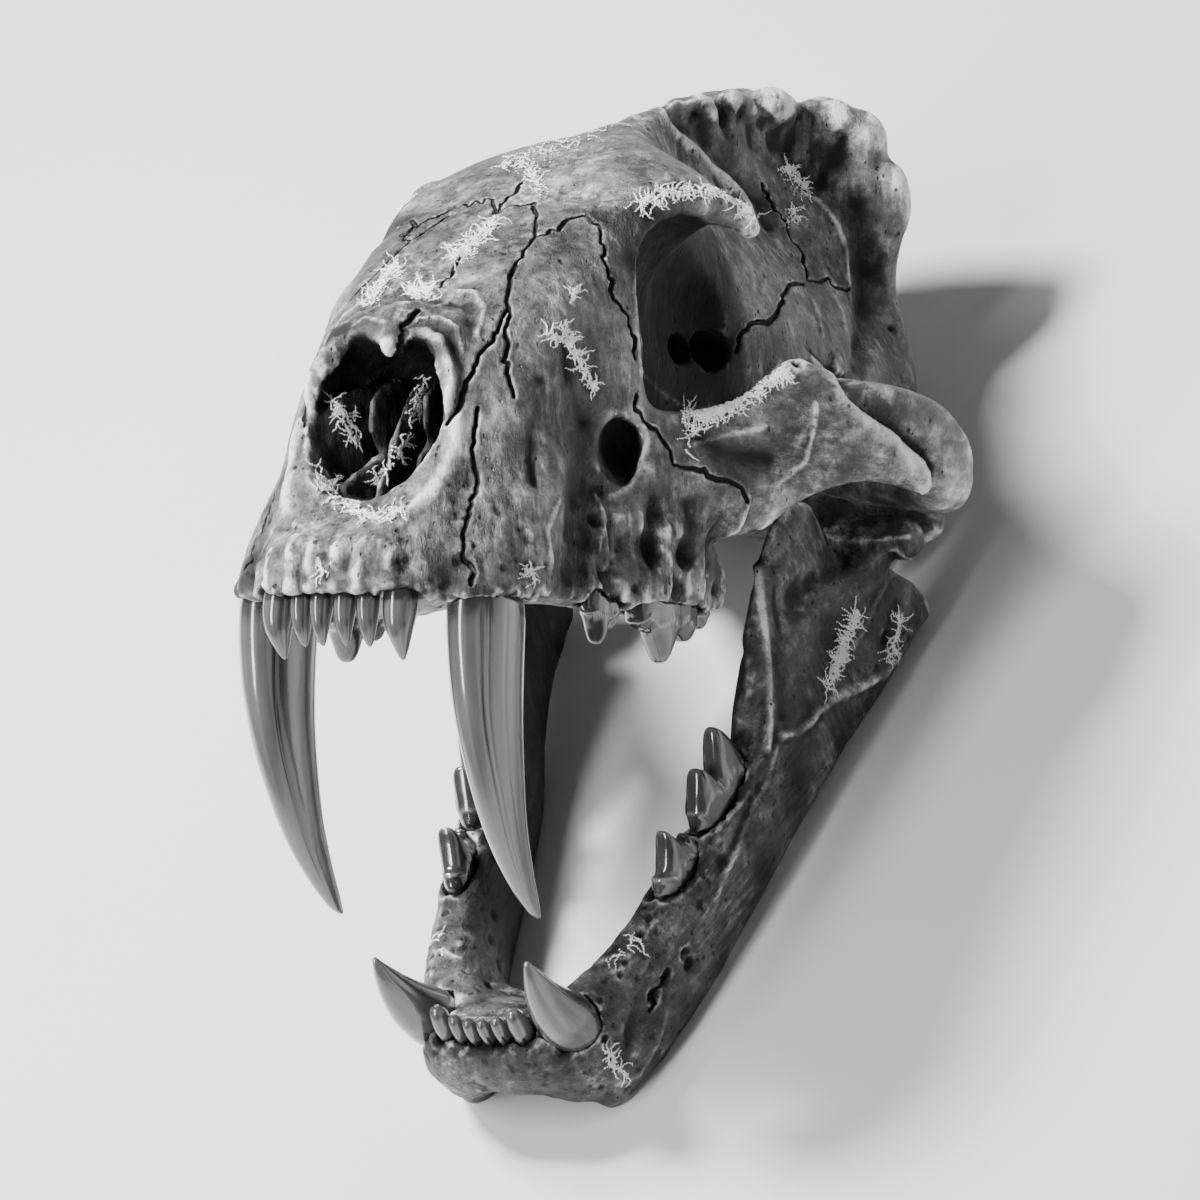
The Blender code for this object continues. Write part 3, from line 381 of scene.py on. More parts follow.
# Sunken lines
SKULL_DEEP_FURROWS = (
    ((676, 116), (694, 126), (710, 142), (727, 162), (746, 182), (762, 200), (768, 220)),
    ((858, 205), (863, 241), (866, 287), (863, 333), (860, 366)),
)
SKULL_BROAD_FURROWS = (
    ((590, 392), (588, 430), (580, 470), (574, 510), (570, 550), (562, 588)),
    ((464, 470), (458, 505), (450, 540), (446, 575)),
)
SKULL_FURROWS = (
    ((450, 334), (459, 350), (463, 366), (462, 384), (458, 400), (450, 416)),
    ((398, 330), (412, 324), (432, 325), (446, 332)),
    ((436, 300), (452, 302), (468, 304), (472, 322)),
    ((800, 118), (795, 132), (790, 150)),
    ((702, 108), (706, 122), (712, 140)),
    ((746, 108), (748, 122), (752, 142)),
    ((722, 106), (724, 118), (728, 132)),
    ((844, 140), (834, 160), (822, 182)),
    ((656, 500), (654, 528), (650, 560)),
    ((688, 505), (690, 530), (688, 562)),
    ((716, 520), (712, 545), (708, 575)),
    ((540, 380), (534, 430), (536, 480)),
    ((566, 350), (572, 390), (586, 420)),
    ((690, 428), (730, 450), (770, 458)),
)
# Where the front teeth's roots show, in millimetres from the midline
INCISOR_ROOTS = (3.9, 10.9, 19.8)

# The cheek bone's tongue stands over the temple's bar along this edge
TONGUE_EDGE = (
    (822, 366), (833, 378), (848, 400), (875, 420), (893, 432), (908, 447), (923, 459), (930, 471),
    (930, 482),
)

# Patches of painted shade: (pixel x, pixel y, radius in millimetres, strength)
SKULL_SHADE_PATCHES = (
    (582, 430, 10, 0.45), (586, 480, 12, 0.5), (590, 540, 12, 0.6), (575, 575, 9, 0.6), (640, 560, 12, 0.5),
    (690, 545, 12, 0.6), (720, 570, 9, 0.6), (655, 500, 9, 0.35), (740, 462, 16, 0.55), (780, 448, 12, 0.4),
    (850, 470, 9, 0.5), (700, 432, 8, 0.4), (455, 565, 8, 0.7), (432, 560, 6, 0.5), (468, 440, 5, 0.3),
    (770, 200, 10, 0.3), (800, 150, 14, 0.3), (865, 300, 9, 0.45), (780, 345, 10, 0.3),
    (890, 410, 10, 0.4), (960, 430, 12, 0.5), (400, 300, 7, 0.3), (480, 270, 6, 0.25), (620, 400, 7, 0.4),
    (730, 150, 8, 0.5), (560, 250, 9, 0.2), (600, 330, 9, 0.3), (330, 560, 7, 0.4), (380, 565, 6, 0.4),
)
JAW_SHADE_PATCHES = (
    (500, 1062, 16, 0.6), (560, 1066, 14, 0.5), (450, 1040, 12, 0.6), (700, 885, 12, 0.4),
    (800, 780, 12, 0.5), (765, 870, 10, 0.6), (650, 1064, 9, 0.4), (820, 560, 12, 0.3), (720, 960, 9, 0.6),
    (600, 1000, 8, 0.3), (840, 740, 9, 0.6), (745, 650, 8, 0.5), (690, 1010, 8, 0.5),
)

# Dents: (pixel x, pixel y, radius, depth) with radius and depth in millimetres
SKULL_DENTS = (
    (594, 484, 7, 2.4), (606, 492, 6, 1.8), (596, 520, 3.4, 2.2), (640, 590, 4, 2.0), (618, 600, 3.4, 1.8),
    (680, 590, 4.4, 2.4), (720, 590, 3.6, 2.0), (448, 585, 6, 2.0), (462, 560, 3.4, 1.6),
    (497, 212, 2.4, 2.6), (779, 138, 10, 2.2), (826, 150, 13, 2.8), (806, 176, 10, 1.8), (702, 112, 5, 2.2),
    (724, 116, 5, 2.4), (742, 118, 5, 2.0), (762, 122, 5, 1.6), (797, 362, 2.6, 3.0), (891, 328, 1.6, 1.6),
    (876, 268, 6, 2.0), (700, 442, 12, 1.4), (740, 454, 14, 1.6), (588, 505, 7, 1.6), (645, 545, 6, 2.4),
    (660, 515, 5, 1.8), (687, 552, 6, 3.0), (607, 566, 6, 2.2), (712, 560, 4, 2.6), (560, 420, 12, 1.6),
    (530, 460, 12, 1.2), (870, 395, 8, 1.2), (580, 190, 14, 1.4), (690, 165, 12, 1.6), (428, 262, 10, 1.4),
    (520, 560, 6, 1.0), (430, 545, 7, 1.2), (405, 560, 5, 1.4), (350, 560, 5, 1.2), (318, 556, 5, 1.2),
)
SKULL_BUMPS = (
    (701, 99, 6, 1.4), (732, 98, 6, 1.6), (779, 104, 11, 2.0), (846, 122, 12, 1.6), (560, 300, 15, 1.2),
    (500, 520, 16, 1.4), (620, 520, 6, 1.6), (673, 530, 6, 1.4), (655, 470, 8, 1.0), (822, 415, 10, 1.2),
    (452, 330, 7, 1.2), (430, 325, 6, 1.0), (904, 372, 8, 1.0), (886, 240, 8, 1.2),
)
JAW_THICK_RIDGES = (
    ((752, 548), (758, 570), (760, 600), (764, 630), (768, 660), (770, 705), (767, 748)),
    ((782, 735), (797, 734), (812, 723), (821, 711), (836, 699), (866, 684), (885, 675), (900, 655)),
)
JAW_RIDGES = (
    ((776, 748), (768, 780), (752, 812), (738, 850), (716, 900)),
    ((640, 892), (620, 925), (590, 955), (566, 985)),
    ((818, 500), (821, 522), (830, 537), (848, 541), (875, 540), (908, 537)),
    ((898, 570), (880, 600), (866, 632), (840, 672)),
    ((616, 955), (598, 962), (580, 966)),
    ((668, 1010), (660, 1040), (640, 1075), (618, 1084)),
)
JAW_FURROWS = (
    ((776, 570), (778, 620), (780, 670), (783, 716)),
    ((742, 620), (740, 660), (738, 690)),
    ((640, 1000), (632, 1030), (628, 1060)),
    ((760, 790), (742, 830), (722, 868)),
    ((900, 604), (894, 622), (886, 650)),
)
JAW_DENTS = (
    (825, 630, 20, 3.0), (800, 690, 12, 2.0), (850, 590, 12, 1.6), (790, 600, 10, 2.0), (540, 1092, 10, 1.6),
    (686, 954, 2.6, 3.6), (655, 996, 3.4, 3.0), (641, 933, 1.8, 2.0), (648, 918, 1.6, 1.6),
    (625, 962, 1.6, 1.6), (667, 972, 1.8, 1.6), (640, 1030, 9, 2.0), (700, 905, 3, 1.0), (722, 860, 4, 1.0),
    (600, 1000, 1.4, 1.2), (840, 640, 12, 1.2), (812, 590, 12, 1.6), (495, 915, 3, 1.6), (492, 940, 3, 1.4),
    (500, 965, 3.5, 1.8), (488, 985, 3, 1.2), (620, 975, 1.5, 1.2), (606, 1040, 2.2, 1.8), (890, 640, 4, 1.8),
)
JAW_BUMPS = (
    (700, 760, 7, 1.0), (660, 860, 7, 0.8), (900, 610, 6, 0.8), (600, 1070, 8, 1.0), (560, 1030, 9, 0.8),
)

# Patches of white mineral crust: (trail in pixels, spread in pixels, number of branches)
SKULL_CRUST = (
    (((500, 168), (520, 158), (545, 152), (575, 142), (600, 134), (612, 130)), 7, 55),
    (((520, 160), (532, 176), (540, 190)), 9, 32),
    (((496, 216), (485, 234), (465, 248), (448, 258)), 9, 78),
    (((432, 296), (424, 288), (412, 296)), 8, 55),
    (((398, 262), (386, 278), (374, 296), (366, 306)), 5, 75),
    (((562, 325), (570, 345), (578, 362), (590, 378), (597, 390)), 4, 65),
    (((548, 334), (562, 340)), 4, 18),
    (((573, 292), (573, 300)), 3, 10),
    (((640, 205), (660, 196), (684, 190), (706, 190), (728, 196), (745, 206), (754, 220)), 8, 150),
    (((680, 412), (704, 414), (726, 409), (748, 398), (768, 382), (788, 371)), 5, 188),
    (((696, 418), (740, 408)), 6, 38),
    (((320, 480), (340, 500), (362, 516), (385, 518), (402, 508)), 6, 75),
    (((330, 400), (345, 418), (358, 440)), 9, 42),
    (((424, 375), (418, 405), (408, 432), (396, 458), (372, 484)), 5, 68),
    (((786, 168), (797, 180), (806, 190)), 5, 38),
    (((792, 212), (798, 220)), 4, 15),
    (((696, 425), (686, 450)), 3, 12),
    (((526, 566), (534, 582)), 4, 15),
    (((318, 470), (330, 492)), 6, 18),
    (((318, 558), (324, 574)), 3, 8),
)
JAW_CRUST = (
    (((856, 612), (846, 636), (838, 660), (828, 690)), 6, 112),
    (((900, 618), (895, 640), (888, 662)), 4, 35),
    (((606, 1052), (614, 1068), (628, 1074)), 4, 25),
    (((640, 940), (610, 960)), 6, 12),
)

# A crystal's length and half width, and the longest step from one to the next, in millimetres
CRYSTAL_LENGTH = 0.95
CRYSTAL_WIDTH = 0.34
BRANCH_GAP = 4.0

# The corners of a crystal's three-sided foot
THIRDS = ((1, 0), (-0.5, 0.866), (-0.5, -0.866))

# A branch of crust goes on by such a step, in pixels
CRUST_STEP = 2.6

# This share of the branches is repeated on the right side, where they are this far from the midline;
# the bone there is looked for within this reach, in millimetres
MIRRORED_SHARE = 0.45
MIRRORED_FROM = 24
MIRROR_REACH = 8

# Lines and dents this far or more to the left are repeated on the right side, in millimetres
MIDLINE_BAND = 15

# A crack zigzags at each such length, and points on a trail are this far apart, in pixels
ZIGZAG = 6.0
TRAIL_STEP = 1.2

# How sharp the front and back edges of pointed teeth are: 1 is a plain ellipse
SABRE_KEEL = 1.0
CONE_KEEL = 1.1

# Long grooves and broad bands of the pointed teeth, darkened with painted shade; the broad bands stand for
# the side that is turned from the lamps: angle round the tooth from its left side to its front, width (both
# in radians) and strength
SABRE_GROOVES = (
    (0.86, 0.03, 0.9), (0.66, 0.025, 0.6), (0.20, 0.04, 0.4), (2.35, 0.04, 0.5), (-0.9, 0.04, 0.7),
    (-2.0, 0.05, 0.6), (0.12, 0.34, 0.62), (2.42, 0.22, 0.55),
)
CONE_GROOVES = ((0.7, 0.12, 0.6), (2.3, 0.12, 0.4), (-0.9, 0.14, 0.5))

# The grain of pointed teeth runs down a cylinder of this radius, in millimetres
GRAIN_RADIUS = 10

# A blade's zigzag ridge: its lowest place and its rise, as shares of the crown, and its pitch over pi
RIDGE_LOW = 0.16
RIDGE_RISE = 0.16
RIDGE_PITCH = 3.4

# How strong the painted highlight on a blade's edges and its zigzag ridge is, where a pointed tooth's
# edges are 1, and the tone of its body, where a pointed tooth's is 1
BLADE_EDGE_HIGHLIGHT = 0.55
RIDGE_SHINE = 0.35
BLADE_TONE = -1.4

# Heights where the crowns leave the bone, in millimetres
UPPER_GUMS = {"upper_canine": -22, "upper_incisor_1": -22, "upper_incisor_2": -22, "upper_incisor_3": -22,
              "upper_premolar": -23, "upper_carnassial": -23.5, "upper_molar": -23}
LOWER_GUMS = {"lower_canine": -37, "lower_incisor_1": -36, "lower_incisor_2": -36, "lower_incisor_3": -36,
              "lower_premolar": -30, "lower_carnassial": -24}

# How pale the bones are: the middle of their range of greys
CRANIUM_TONE = 0.54
# The lower jaw's copy of the bone material is darker, as painted shade
JAW_SHADED_TONE = 0.45

# Half the floor's side, in metres, and the point that the lamps look at
FLOOR_HALF = 4.0
LAMP_AIM = Vector((0, 0, 0.1))

# Soft round lamps: direction (towards the camera, right and up, as the camera sees it), distance, width
# (both in metres) and power
LAMPS = {
    "key": ((0.42, -0.88, 0.82), 1.1, 0.28, 38),
    "fill": ((0.9, 0.9, -0.1), 1.6, 1.0, 2),
    "strip": ((0.78, -0.62, 0.0), 1.4, 0.20, 24),
    "rim": ((-0.35, 1.0, 0.5), 1.3, 0.4, 10),
}

# The strip lamp stands upright and is this tall, for long lights on the teeth
STRIP_HEIGHT = 1.1
AIR_LIGHT = 0.19


def skull_point(x, forward, up):
    """Metres, with the muzzle along -Y."""
    return Vector((x, -forward, up)) * MM


def spline(rows, steps):
    """Catmull-Rom through rows of numbers, with this many steps between two rows."""
    rows = np.asarray(rows, float)
    padded = np.concatenate([2 * rows[:1] - rows[1:2], rows, 2 * rows[-1:] - rows[-2:-1]])
    made = []
    for a, b, c, d in zip(padded, padded[1:], padded[2:], padded[3:]):
        for t in np.arange(steps) / steps:
            made.append(
                0.5 * (2 * b + (c - a) * t + (2 * a - 5 * b + 4 * c - d) * t**2
                       + (3 * b - a - 3 * c + d) * t**3)
            )
    made.append(rows[-1])
    return np.array(made)


def add_loft(bm, rings, mirrored=False):
    """One closed skin through rings of equally many points, and its twin across the midline."""
    for side in (1, -1) if mirrored else (1,):
        loops = [[bm.verts.new((side * p[0], p[1], p[2])) for p in ring] for ring in rings]
        faces = []
        for a, b in zip(loops, loops[1:]):
            for i in range(len(a)):
                j = (i + 1) % len(a)
                faces.append(bm.faces.new((a[i], a[j], b[j], b[i])))
        faces.append(bm.faces.new(loops[0]))
        faces.append(bm.faces.new(loops[-1]))
        bmesh.ops.recalc_face_normals(bm, faces=faces)


def section_rings(sections, steps, around):
    """Whole rings from half cross-sections, smoothed along the skull and around it."""
    table = np.array([[(x, forward, up) for x, up in points] for forward, points in sections])
    count, width = table.shape[:2]
    along = spline(table.reshape(count, -1), steps).reshape(-1, width, 3)
    rings = []
    for half in along:
        left = spline(half, around)
        right = left[-2:0:-1] * (-1, 1, 1)
        rings.append([skull_point(*p) for p in np.concatenate([left, right])])
    return rings


def limb_rings(stations, steps=3, sides=12, grow=0.0, keel=1.0):
    """Rings square to a path; half width is across the skull, half depth square to it. They are
    ellipses, with edges before and behind where keel is over 1."""
    rows = spline(stations, steps)
    centres = rows[:, :3] * (1, -1, 1)
    tangents = np.gradient(centres, axis=0)
    tangents /= np.linalg.norm(tangents, axis=1)[:, None]
    centres[0] -= tangents[0] * grow
    centres[-1] += tangents[-1] * grow
    rings = []
    for centre, tangent, (wide, deep) in zip(centres, tangents, rows[:, 3:5]):
        across = np.array((1.0, 0, 0)) - tangent * tangent[0]
        across /= np.linalg.norm(across)
        square = np.cross(tangent, across)
        ring = []
        for a in np.arange(sides) * 2 * math.pi / sides:
            bulge = math.copysign(abs(math.cos(a)) ** keel, math.cos(a))
            spot = centre + across * (wide + grow) * bulge + square * (deep + grow) * math.sin(a)
            ring.append(Vector(spot) * MM)
        rings.append(ring)
    return rings


def plate_rings(stations, steps=3, sides=12, grow=0.0):
    """Upright rounded sections along a path seen from above."""
    rows = spline(stations, steps)
    flat = rows[:, :2] * (1, -1)
    tangents = np.gradient(flat, axis=0)
    tangents /= np.linalg.norm(tangents, axis=1)[:, None]
    flat[0] -= tangents[0] * grow
    flat[-1] += tangents[-1] * grow
    rings = []
    for (x, y), tangent, (low, high, half) in zip(flat, tangents, rows[:, 2:5]):
        normal = np.array((-tangent[1], tangent[0]))
        middle, reach = (low + high) / 2, (high - low) / 2
        ring = []
        for a in (np.arange(sides) + 0.5) * 2 * math.pi / sides:
            c, s = math.cos(a), math.sin(a)
            bulge = math.copysign(abs(c) ** 0.7, c)
            rise = math.copysign(abs(s) ** 0.8, s)
            spread = normal * bulge * (half + grow)
            ring.append(Vector((x + spread[0], y + spread[1], middle + rise * (abs(reach) + grow))) * MM)
        rings.append(ring)
    return rings


def add_ellipsoid(bm, centre, axes, segments=20):
    """A ball with these half axes, and its twin across the midline."""
    for side in (1, -1):
        x, forward, up = centre
        place = Matrix.Translation(skull_point(side * x, forward, up)) @ Matrix.Diagonal(
            (*(Vector(axes) * MM), 1.0)
        )
        bmesh.ops.create_uvsphere(bm, u_segments=segments, v_segments=segments // 2, radius=1, matrix=place)


def new_object(name, bm, material=None):
    mesh = bpy.data.meshes.new(name)
    bm.to_mesh(mesh)
    bm.free()
    if material:
        mesh.materials.append(material)
    made = bpy.data.objects.new(name, mesh)
    bpy.context.scene.collection.objects.link(made)
    return made


def remesh(bone, name, voxel):
    modifier = bone.modifiers.new(name, "REMESH")
    modifier.mode = "VOXEL"
    modifier.voxel_size = voxel * MM


def cut(bone, helper, name):
    modifier = bone.modifiers.new(name, "BOOLEAN")
    modifier.operation = "DIFFERENCE"
    modifier.solver = "EXACT"
    if isinstance(helper, bpy.types.Collection):
        modifier.operand_type = "COLLECTION"
        modifier.collection = helper
    else:
        modifier.object = helper


def cranium_shapes():
    bm = bmesh.new()
    add_loft(bm, section_rings(SKULL_SECTIONS, steps=3, around=3))
    add_loft(bm, plate_rings(CHEEK_BONE), mirrored=True)
    add_loft(bm, plate_rings(TEMPLE_BAR, sides=14), mirrored=True)
    add_loft(bm, plate_rings(JOINT_STOP), mirrored=True)
    add_loft(bm, plate_rings(PALATE_WING), mirrored=True)
    for limb in (BROW_HOOK, MASTOID, PARAMASTOID, *CHEEK_ROOT_SWELLINGS):
        add_loft(bm, limb_rings(limb), mirrored=True)
    for ball in (EAR_CAPSULE, NAPE_CONDYLE, *CREST_LUMPS):
        add_ellipsoid(bm, *ball)
    return bm


def cranium_hollows():
    bm = bmesh.new()
    add_loft(bm, section_rings(NASAL_OPENING, steps=3, around=2))
    add_loft(bm, limb_rings(CHEEK_OPENING), mirrored=True)
    add_loft(bm, limb_rings(THROAT_OPENING))
    add_loft(bm, limb_rings(SPINE_OPENING))
    for hollow in EYE_NERVE_OPENINGS:
        add_ellipsoid(bm, *hollow)
    add_ellipsoid(bm, *NAPE_HOLLOWS)
    return bm


def mandible_shapes():
    bm = bmesh.new()
    add_loft(bm, section_rings(CHIN_SECTIONS, steps=3, around=2))
    add_loft(bm, plate_rings(JAW_BODY), mirrored=True)
    add_loft(bm, plate_rings(CORONOID), mirrored=True)
    for limb in (CHIN_FLANGE, JAW_ANGLE, JAW_NECK):
        add_loft(bm, limb_rings(limb), mirrored=True)
    add_roller(bm, JOINT_RADIUS, JOINT_INNER, JOINT_OUTER)
    return bm


def mandible_hollows():
    bm = bmesh.new()
    add_loft(bm, limb_rings(MASSETER_HOLLOW), mirrored=True)
    for hollow in MENTAL_OPENINGS:
        add_ellipsoid(bm, *hollow)
    return bm


def add_roller(bm, radius, inner, outer):
    """A joint's condyle: a roller across the skull on the joint's axis, with rounded ends."""
    length = outer - inner
    stations = (
        (inner, 0.6), (inner + 0.1 * length, 0.92), (inner + 0.35 * length, 1.0),
        (inner + 0.65 * length, 1.0), (inner + 0.9 * length, 0.86), (outer, 0.5),
    )
    turn = np.arange(16) * 2 * math.pi / 16
    rings = [
        [skull_point(x, share * radius * math.cos(a), share * radius * math.sin(a)) for a in turn]
        for x, share in stations
    ]
    add_loft(bm, rings, mirrored=True)


def mirrored_stations(stations, side):
    return [(side * row[0], *row[1:]) for row in stations]


def camera_ray(pixel_x, pixel_y, place):
    """The camera's ray through a pixel: its start and direction in a bone's own frame."""
    reach = CAMERA_LENS / CAMERA_SENSOR * PICTURE
    across = (pixel_x - PICTURE / 2) / reach
    down = (pixel_y - PICTURE / 2) / reach
    direction = CAMERA_RIGHT * across - CAMERA_UP * down - CAMERA_BACK
    turn = place.inverted() @ SKULL_PLACE
    return turn @ CAMERA_PLACE, (turn.to_3x3() @ direction).normalized()


def evenly(corners, step):
    """Points a step apart along straight lines between the corners."""
    made = []
    for a, b in zip(corners, corners[1:]):
        count = max(1, round(np.linalg.norm(b - a) / step))
        made.extend(a + (b - a) * t for t in np.arange(count) / count)
    return np.array([*made, corners[-1]])


def pixel_trail(corners, waver=0.0, rng=None):
    """Points along a line of pixels, which zigzags where it wavers."""
    corners = np.asarray(corners, float)
    if waver:
        corners = evenly(corners, ZIGZAG)
        corners[1:-1] += rng.normal(0, waver, (len(corners) - 2, 2))
    return evenly(corners, TRAIL_STEP)


def on_bone(pixels, place, tree):
    """Where rays through these pixels meet the bone: places and outward directions, in millimetres."""
    places, outward = [], []
    for x, y in pixels:
        start, direction = camera_ray(x, y, place)
        hit, normal, _, _ = tree.ray_cast(start, direction)
        if hit is not None:
            places.append(np.array(hit) / MM)
            outward.append(np.array(normal))
    return np.array(places).reshape(-1, 3), np.array(outward).reshape(-1, 3)


def trails_on_bone(trails, place, tree, waver=0.0, seed=1):
    """All of these trails on the bone, with the direction to the left of each trail's course."""
    rng = np.random.default_rng(seed)
    points, asides = [], []
    for trail in trails:
        places, outward = on_bone(pixel_trail(trail, waver=waver, rng=rng), place, tree)
        if len(places) < 3:
            continue
        course = np.gradient(places, axis=0)
        aside = np.cross(outward, course)
        aside /= np.maximum(np.linalg.norm(aside, axis=1), 1e-9)[:, None]
        points.append(places)
        asides.append(aside)
    return np.concatenate(points), np.concatenate(asides)


def distance_to(samples, points, reach):
    """Each point's distance to its nearest sample and that sample's number; far ones get the reach."""
    tree = KDTree(len(samples))
    for i, sample in enumerate(samples):
        tree.insert(sample, i)
    tree.balance()
    distance = np.full(len(points), float(reach))
    nearest = np.zeros(len(points), int)
    low, high = samples.min(0) - reach, samples.max(0) + reach
    inside = np.nonzero(((points > low) & (points < high)).all(1))[0]
    for i in inside:
        _, number, gap = tree.find(points[i])
        if gap < reach:
            distance[i] = gap
            nearest[i] = number
    return distance, nearest


def folded(points):
    """Points with the right side folded onto the left, so that one mark serves both sides."""
    return np.abs(points[:, :1]) * (1, 0, 0) + points * (0, 1, 1)


def both_sides(samples):
    """The samples and the left ones' mirror images, except near the midline, where they stay single."""
    far = samples[:, 0] > MIDLINE_BAND
    return np.concatenate([samples, samples[far] * (-1, 1, 1)])


def lattice(cells, seed):
    """A steady number from 0 to 1 for each whole-numbered cell."""
    x, y, z = (cells[..., i].astype(np.int64).astype(np.uint32) for i in range(3))
    mixed = x * np.uint32(73856093) ^ y * np.uint32(19349663) ^ z * np.uint32(83492791)
    mixed ^= np.uint32(seed * 7919 + 13)
    mixed = (mixed ^ (mixed >> np.uint32(13))) * np.uint32(1274126177)
    mixed = (mixed ^ (mixed >> np.uint32(15))) * np.uint32(2246822519)
    return ((mixed ^ (mixed >> np.uint32(16))) & np.uint32(0xFFFF)) / 65535.0


def smooth_noise(points, size, seed, octaves=1):
    """Noise from -1 to 1 with lumps of this size, which may differ along the three axes."""
    total = np.zeros(len(points))
    weight = 0.0
    for octave in range(octaves):
        scaled = points / (np.asarray(size) / 2**octave) + 31.7 * octave
        base = np.floor(scaled)
        part = scaled - base
        part = part * part * (3 - 2 * part)
        value = np.zeros(len(points))
        for corner in np.ndindex(2, 2, 2):
            share = np.prod(np.where(corner, part, 1 - part), axis=1)
            value += share * lattice(base + corner, seed + octave)
        total += (2 * value - 1) / 2**octave
        weight += 1 / 2**octave
    return total / weight


def pit_noise(points, size, seed, chance):
    """1 in the middle of scattered round pits, falling to 0 around them."""
    scaled = points / size
    base = np.floor(scaled)
    nearest = np.full(len(points), 9.0)
    for corner in np.ndindex(3, 3, 3):
        cell = base + corner - 1
        spot = cell + np.stack([lattice(cell, seed + i) for i in range(3)], axis=1)
        gap = np.linalg.norm(scaled - spot, axis=1) + 9.0 * (lattice(cell, seed + 7) > chance)
        nearest = np.minimum(nearest, gap)
    return np.clip(1 - nearest / 0.34, 0, 1) ** 0.7


def bell(distance, width):
    return np.exp(-((distance / width) ** 2))


def between(value, low, high):
    """0 below low, 1 above high, smooth in between; the other way round where low is above high."""
    part = np.clip((value - low) / (high - low), 0, 1)
    return part * part * (3 - 2 * part)


def triangles_of(mesh):
    mesh.calc_loop_triangles()
    corners = np.empty(len(mesh.loop_triangles) * 3, np.int32)
    mesh.loop_triangles.foreach_get("vertices", corners)
    return corners.reshape(-1, 3)


def points_of(mesh):
    flat = np.empty(len(mesh.vertices) * 3, np.float32)
    mesh.vertices.foreach_get("co", flat)
    return flat.reshape(-1, 3).astype(float) / MM


def edges_of(mesh):
    flat = np.empty(len(mesh.edges) * 2, np.int32)
    mesh.edges.foreach_get("vertices", flat)
    return flat.reshape(-1, 2)


def set_points(mesh, points):
    mesh.vertices.foreach_set("co", (points * MM).astype(np.float32).ravel())
    mesh.update()


def outward_at(points, triangles):
    """Unit vertex normals."""
    a, b, c = (points[triangles[:, i]] for i in range(3))
    face = np.cross(b - a, c - a)
    total = np.zeros_like(points)
    for corner in range(3):
        for axis in range(3):
            total[:, axis] += np.bincount(triangles[:, corner], face[:, axis], len(points))
    return total / np.maximum(np.linalg.norm(total, axis=1), 1e-12)[:, None]


def relaxed(points, edges, rounds):
    """Points drawn half way to the middle of their neighbours, this many times."""
    count = np.bincount(edges.ravel(), minlength=len(points)).astype(float)
    count = np.maximum(count, 1)
    for _ in range(rounds):
        total = np.empty_like(points)
        for axis in range(3):
            ends = points[:, axis]
            total[:, axis] = np.bincount(edges[:, 0], ends[edges[:, 1]], len(points))
            total[:, axis] += np.bincount(edges[:, 1], ends[edges[:, 0]], len(points))
        points = points + 0.5 * (total / count[:, None] - points)
    return points


def applied(piece):
    """The piece's mesh becomes what its modifiers make of it."""
    bpy.context.view_layer.update()
    evaluated = piece.evaluated_get(bpy.context.evaluated_depsgraph_get())
    mesh = bpy.data.meshes.new_from_object(evaluated)
    piece.modifiers.clear()
    piece.data = mesh
    return mesh


def raw_bone(name, shapes, hollows, late_shapes):
    """One even skin: fused shapes, less the hollows, with the late shapes added inside them."""
    bone = new_object(name, shapes)
    remesh(bone, "fuse", FUSE_VOXEL)
    cutters = [new_object(f"{name}_cutter_{i}", cutter) for i, cutter in enumerate(hollows)]
    for i, cutter in enumerate(cutters):
        cut(bone, cutter, f"cut_{i}")
    mesh = applied(bone)
    for cutter in cutters:
        bpy.data.objects.remove(cutter)
    late_shapes.from_mesh(mesh)
    late_shapes.to_mesh(mesh)
    late_shapes.free()
    remesh(bone, "even_skin", SKIN_VOXEL)
    mesh = applied(bone)
    set_points(mesh, relaxed(points_of(mesh), edges_of(mesh), SKIN_SMOOTHING))
    return bone


def tree_of(mesh):
    return BVHTree.FromPolygons(
        [v.co for v in mesh.vertices], triangles_of(mesh).tolist(), all_triangles=True
    )


def draw_lines(height, points, trails, place, tree, depth, width):
    """Adds a line along the trails, on both sides, that is uneven along its course; depth under 0 sinks.
    Returns 1 on the line, falling to 0 beside it."""
    samples = both_sides(trails_on_bone(trails, place, tree)[0])
    distance, _ = distance_to(samples, points, 3 * width)
    near = distance < 3 * width
    uneven = 0.75 + 0.45 * smooth_noise(points[near], 9, 91)
    height[near] += depth * uneven * bell(distance[near], width)
    return bell(distance, width)


def draw_cracks(height, points, distance):
    """Sinks the cracks, which widen and narrow, and raises their lips. Returns how deep in a crack."""
    width = 0.50 + 0.26 * smooth_noise(points, 9, 93)
    crack = bell(distance, width)
    height += 0.22 * bell(distance - 1.4, 0.6) - 1.5 * crack
    return crack


def draw_spots(height, points, spots, place, tree, sign):
    """Adds rounded spots on both sides, sunken ones where the sign is -1."""
    for x, y, radius, depth in spots:
        for centre in both_sides(on_bone([(x, y)], place, tree)[0]):
            gap = np.linalg.norm(points - centre, axis=1) / radius
            height += sign * depth * np.clip(1 - gap**2, 0, 1) ** 2


def near_points(points, stations, reach):
    """1 on a path of stations, falling to 0 at this reach from it."""
    path = spline(stations, 4)[:, :3] * (1, -1, 1)
    distance, _ = distance_to(path, points, reach)
    return between(distance, reach, 0)


